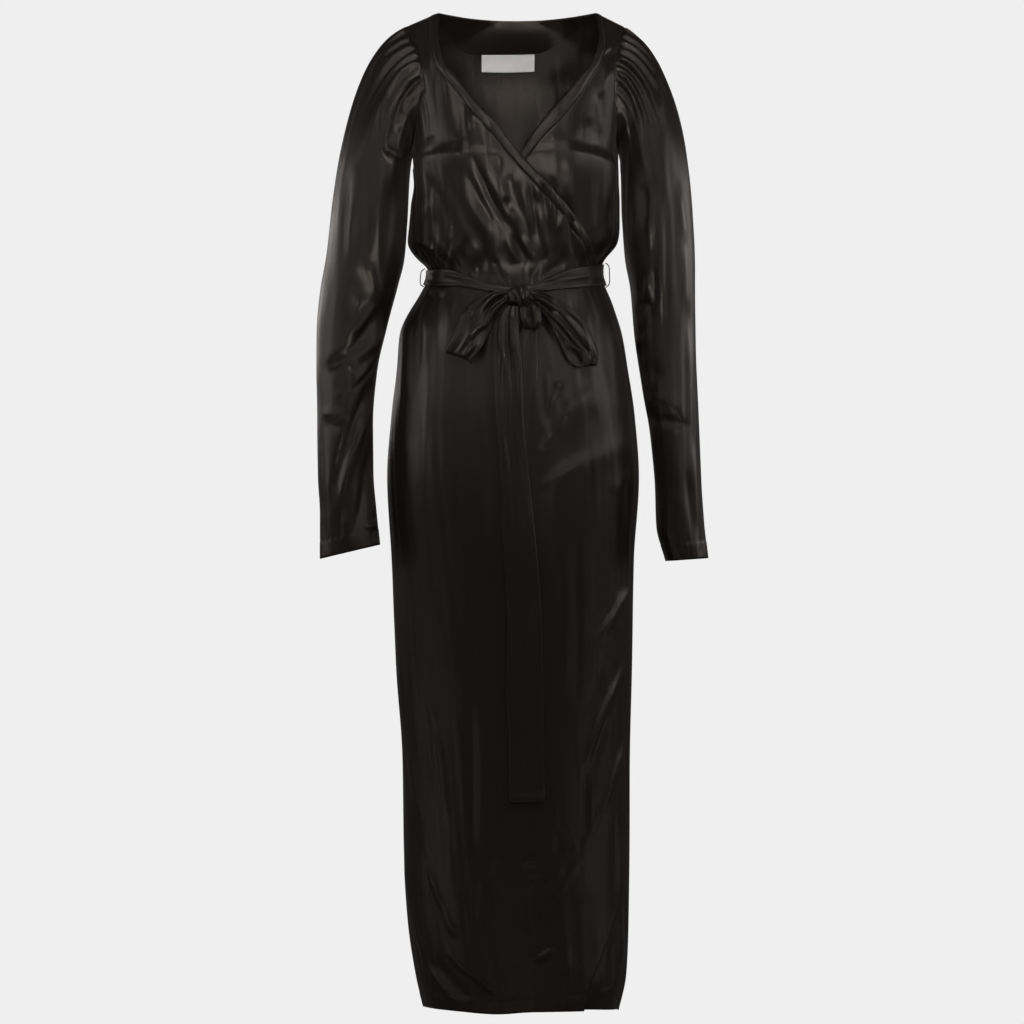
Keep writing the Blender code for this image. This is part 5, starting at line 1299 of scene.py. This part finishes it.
def thread_loop(name, side):
    """A loop of twisted thread that stands over the belt on its side seam."""
    angle = math.radians(180 - THREAD_SEAM_ANGLE if side == RIGHT else THREAD_SEAM_ANGLE)
    belt_x = side * WAIST_RADIUS
    reach = float(read(BELT_FRONT, belt_x, 2)) + THREAD_PAST_BELT
    drops = float(read(BELT_FRONT, belt_x)) + reach * np.array([-1.0, 0.0, 1.0])
    points, out, _ = form(FRONT, angle + 0 * drops, drops)
    first, last = (points[k] + out[k] * lift for k, lift in zip((0, 2), THREAD_END_LIFTS))
    place = np.linspace(-1.0, 1.0, THREAD_RINGS)[:, None]
    path = first * (1 - place) / 2 + last * (1 + place) / 2
    path = path + out[1] * THREAD_BULGE * (1 - place**THREAD_SQUARENESS)
    along = unit(np.gradient(path, axis=0))
    aside = unit(np.cross(along, out[1]))
    rise = unit(np.cross(aside, along))
    turn = np.linspace(0.0, 2 * math.pi, THREAD_SIDES, endpoint=False)[None, :, None]
    twist = np.linspace(0.0, THREAD_TWIST, THREAD_RINGS)[:, None, None]
    radius = THREAD_RADIUS * (1 + THREAD_PLY * np.abs(np.cos(turn + twist)))
    rings = path[:, None] + radius * (np.cos(turn) * aside[:, None] + np.sin(turn) * rise[:, None])
    index = numbered(THREAD_RINGS, THREAD_SIDES)
    faces = corners(wrapped(index)).tolist() + [index[0, ::-1].tolist(), index[-1].tolist()]
    verts = (rings.reshape(-1, 3) * MM).tolist()
    piece = new_object(name, "_thread", verts, faces, (THREAD_DARK,))
    bpy.ops.object.select_all(action="DESELECT")
    piece.select_set(True)
    bpy.context.view_layer.objects.active = piece
    edit((bpy.ops.mesh.select_all, {"action": "SELECT"}),
         (bpy.ops.mesh.normals_make_consistent, {"inside": False}))
    claim(piece, name)


# Materials

def add(tree, kind, settings=None, values=None):
    """A node with its settings, and the values or links of its inputs."""
    node = tree.nodes.new(kind)
    for label, value in (settings or {}).items():
        setattr(node, label, value)
    for label, value in (values or {}).items():
        if isinstance(value, bpy.types.NodeSocket):
            tree.links.new(value, node.inputs[label])
        else:
            node.inputs[label].default_value = value
    return node


def cloth_weave_group():
    """Threads, slubs and soft wear of a woven cloth, on its own UV in metres."""
    group = bpy.data.node_groups.new("cloth weave", "ShaderNodeTree")
    for label, kind, value in WEAVE_INPUTS:
        socket = group.interface.new_socket(name=label, in_out="INPUT", socket_type=kind)
        if value is not None:
            socket.default_value = value
    for label, kind in WEAVE_OUTPUTS:
        group.interface.new_socket(name=label, in_out="OUTPUT", socket_type=kind)
    given = group.nodes.new("NodeGroupInput").outputs
    out = group.nodes.new("NodeGroupOutput").inputs

    def maths(operation, first, second):
        return add(group, "ShaderNodeMath", {"operation": operation},
                   {0: first, 1: second}).outputs[0]

    def times(first, second):
        return maths("MULTIPLY", first, second)

    def plus(first, second):
        return maths("ADD", first, second)

    def noise(vector, scale, detail, roughness):
        return add(group, "ShaderNodeTexNoise", values={
            "Vector": vector, "Scale": scale, "Detail": detail, "Roughness": roughness}).outputs[0]

    apart = add(group, "ShaderNodeSeparateXYZ", values={0: given["Vector"]}).outputs
    leaning = plus(apart[0], times(apart[1], given["Diagonal"]))
    warp = maths("SINE", times(maths("DIVIDE", leaning, given["Thread"]), 2 * math.pi), 0.0)
    weft = maths("SINE", times(maths("DIVIDE", apart[1], given["Thread"]), WEFT_TURN), 0.0)
    threads = times(plus(warp, times(weft, WEFT_SHARE)), WEAVE_HEIGHT)
    long_way = add(group, "ShaderNodeCombineXYZ", values={
        0: times(apart[0], SLUBS[0]), 1: times(apart[1], SLUBS[1])}).outputs[0]
    slubs = noise(long_way, 1.0, 3.0, 0.6)
    cloudy = noise(given["Vector"], CLOUDS, 2.0, 0.5)
    wear = plus(times(slubs, WEAR_SHARES[0]), times(cloudy, WEAR_SHARES[1]))
    tint = add(group, "ShaderNodeMix", {"data_type": "RGBA"}, {
        0: wear, 6: given["Dark"], 7: given["Light"]})
    swing = times(maths("SUBTRACT", wear, 0.5), given["Roughness Spread"])
    group.links.new(tint.outputs[2], out["Color"])
    group.links.new(plus(given["Roughness"], swing), out["Roughness"])
    height = plus(times(threads, HEIGHT_SHARES[0]), times(slubs, HEIGHT_SHARES[1]))
    group.links.new(height, out["Height"])
    return group


def new_material(name, **constants):
    """A material, its node tree and its shader, with constants on the shader's inputs."""
    material = bpy.data.materials.new(name)
    material.use_nodes = True
    shader = material.node_tree.nodes["Principled BSDF"]
    for label, value in constants.items():
        shader.inputs[label.replace("_", " ")].default_value = value
    return material, material.node_tree, shader


def relief_on(tree, shader, height, strength, distance):
    relief = add(tree, "ShaderNodeBump", values={
        "Height": height, "Strength": strength, "Distance": distance})
    tree.links.new(relief.outputs[0], shader.inputs["Normal"])


def cloth_material(name, dark, light, rough, spread, thread, bump, diagonal=0.0, **constants):
    material, tree, shader = new_material(name, **constants)
    where = add(tree, "ShaderNodeUVMap", {"uv_map": "cloth"})
    weave = add(tree, "ShaderNodeGroup", {"node_tree": WEAVE}, {
        "Vector": where.outputs[0], "Thread": thread, "Roughness": rough,
        "Roughness Spread": spread, "Dark": (*dark, 1.0), "Light": (*light, 1.0),
        "Diagonal": diagonal}).outputs
    tree.links.new(weave["Color"], shader.inputs["Base Color"])
    tree.links.new(weave["Roughness"], shader.inputs["Roughness"])
    relief_on(tree, shader, weave["Height"], bump, CLOTH_BUMP)
    material.diffuse_color = (*dark, 1.0)
    return material


def thread_material(name, colour, rough):
    """Sewing thread, with a fine twist on Object coordinates; its bands raise a bump and are
    painted lighter, a painted highlight along the plies.
    """
    material, tree, shader = new_material(name, Roughness=rough)
    where = add(tree, "ShaderNodeTexCoord")
    twist = add(tree, "ShaderNodeTexWave", {"bands_direction": "DIAGONAL"}, {
        "Vector": where.outputs["Object"], "Scale": TWIST_SCALE, "Distortion": 1.5}).outputs[1]
    # Painted highlight: the twist's bands get a lighter colour, as if light caught the thread's
    # plies
    light = [TWIST_PAINTED_HIGHLIGHT * part for part in colour]
    tint = add(tree, "ShaderNodeMix", {"data_type": "RGBA"}, {
        0: twist, 6: (*colour, 1.0), 7: (*light, 1.0)})
    tree.links.new(tint.outputs[2], shader.inputs["Base Color"])
    relief_on(tree, shader, twist, 0.5, TWIST_BUMP)
    return material


WEAVE = cloth_weave_group()
SATIN = cloth_material("satin_face", (0.0090, 0.0071, 0.0061), (0.0130, 0.0104, 0.0091), 0.31,
                       0.12, 0.00035, 0.30, Anisotropic=0.55, Sheen_Weight=0.03,
                       Sheen_Roughness=0.35, Specular_Tint=WARM_TINT)
SATIN_INSIDE = cloth_material("satin_reverse", (0.0080, 0.0066, 0.0056), (0.0125, 0.0105, 0.0090),
                              0.45, 0.10, 0.00045, 0.5, 0.6, Sheen_Weight=0.06,
                              Specular_Tint=WARM_TINT)
LABEL_WHITE = cloth_material("label_tape", (0.74, 0.74, 0.73), (0.84, 0.84, 0.83), 0.65, 0.10,
                             0.0006, 0.6, Sheen_Weight=0.1)
THREAD_DARK = thread_material("satin_thread", (0.012, 0.010, 0.009), 0.5)


# Camera, floor and light

def camera():
    data = bpy.data.cameras.new("camera")
    data.lens, data.sensor_width, data.clip_end = CAMERA_LENS
    item = link(bpy.data.objects.new("camera", data))
    item.location = CAMERA_AT
    item.rotation_euler = (math.pi / 2, 0.0, 0.0)
    bpy.context.scene.camera = item


def backdrop():
    """A pale floor that curves up into a wall all round, well outside the camera's circle."""
    profile = [(FLOOR_REACH + WALL_CURVE * math.sin(a), FLOOR + WALL_CURVE * (1 - math.cos(a)))
               for a in np.linspace(0.0, math.pi / 2, CURVE_STEPS)]
    profile.append((FLOOR_REACH + WALL_CURVE, WALL_TOP))
    turns = np.linspace(0.0, 2 * math.pi, WALL_SIDES + 1)[:-1]
    verts = [(r * math.cos(a), r * math.sin(a), z) for r, z in profile for a in turns]
    index = numbered(len(profile), WALL_SIDES)
    faces = [index[0].tolist()] + corners(wrapped(index)).tolist()
    paper, _, _ = new_material("backdrop_paper", Base_Color=(0.0, 0.0, 0.0, 1.0), Roughness=1.0,
                               Specular_IOR_Level=0.0, Emission_Color=(1.0, 1.0, 1.0, 1.0),
                               Emission_Strength=BACKDROP_GLOW)
    item = new_object("backdrop", "", verts, faces, (paper,))
    item.visible_glossy = item.visible_diffuse = item.visible_shadow = False


def softbox(name, at, aim, width, height, power, spread, casts_shadows):
    data = bpy.data.lights.new(name, "AREA")
    data.shape, data.size, data.size_y = "RECTANGLE", width, height
    data.energy, data.color = power, LIGHT_COLOUR
    data.spread, data.use_shadow = math.radians(spread), casts_shadows
    item = link(bpy.data.objects.new(name, data))
    item.location = at
    x, y, z = (aim[k] - at[k] for k in range(3))
    item.rotation_euler = (math.atan2(math.hypot(x, y), -z), 0.0, math.atan2(-x, y))


def studio():
    scene = bpy.context.scene
    scene.view_settings.view_transform = "Standard"
    scene.view_settings.look = "None"
    scene.world = bpy.data.worlds.new("studio air")
    scene.world.use_nodes = True
    air = scene.world.node_tree.nodes["Background"].inputs
    air[0].default_value, air[1].default_value = WORLD_COLOUR, WORLD_GLOW
    for light in LIGHTS:
        softbox(*light)


def build():
    camera()
    backdrop()
    studio()
    over = front_bodice("bodice_front_over", "neck_band_over", OVER_EDGE, RIGHT, over_level,
                        OVER_BODICE, (), 11, 1.0)
    under = front_bodice("bodice_front_under", "neck_band_under", UNDER_EDGE, LEFT, under_level,
                         UNDER_BODICE, OVER_BODICE, 21, UNDER_UNEVENNESS)
    back_right, back_left = back_bodice()
    back_neck()
    right_cuff = sleeve("sleeve_right", RIGHT, SLEEVE_RIGHT, SLEEVE_RIGHT_FOLDS, RIGHT_GATHERS,
                        over, back_right, 201)
    left_cuff = sleeve("sleeve_left", LEFT, SLEEVE_LEFT, SLEEVE_LEFT_FOLDS, LEFT_GATHERS,
                       under, back_left, 211)
    skirt()
    belt()
    knot()
    for tie_end in TIE_ENDS:
        ribbon(*tie_end)
    thread_loop("belt_loop_right", RIGHT)
    thread_loop("belt_loop_left", LEFT)
    stitch = stitch_shape()
    stitch_row("cuff_stitches_right", *right_cuff, stitch)
    stitch_row("cuff_stitches_left", *left_cuff, stitch)


build()
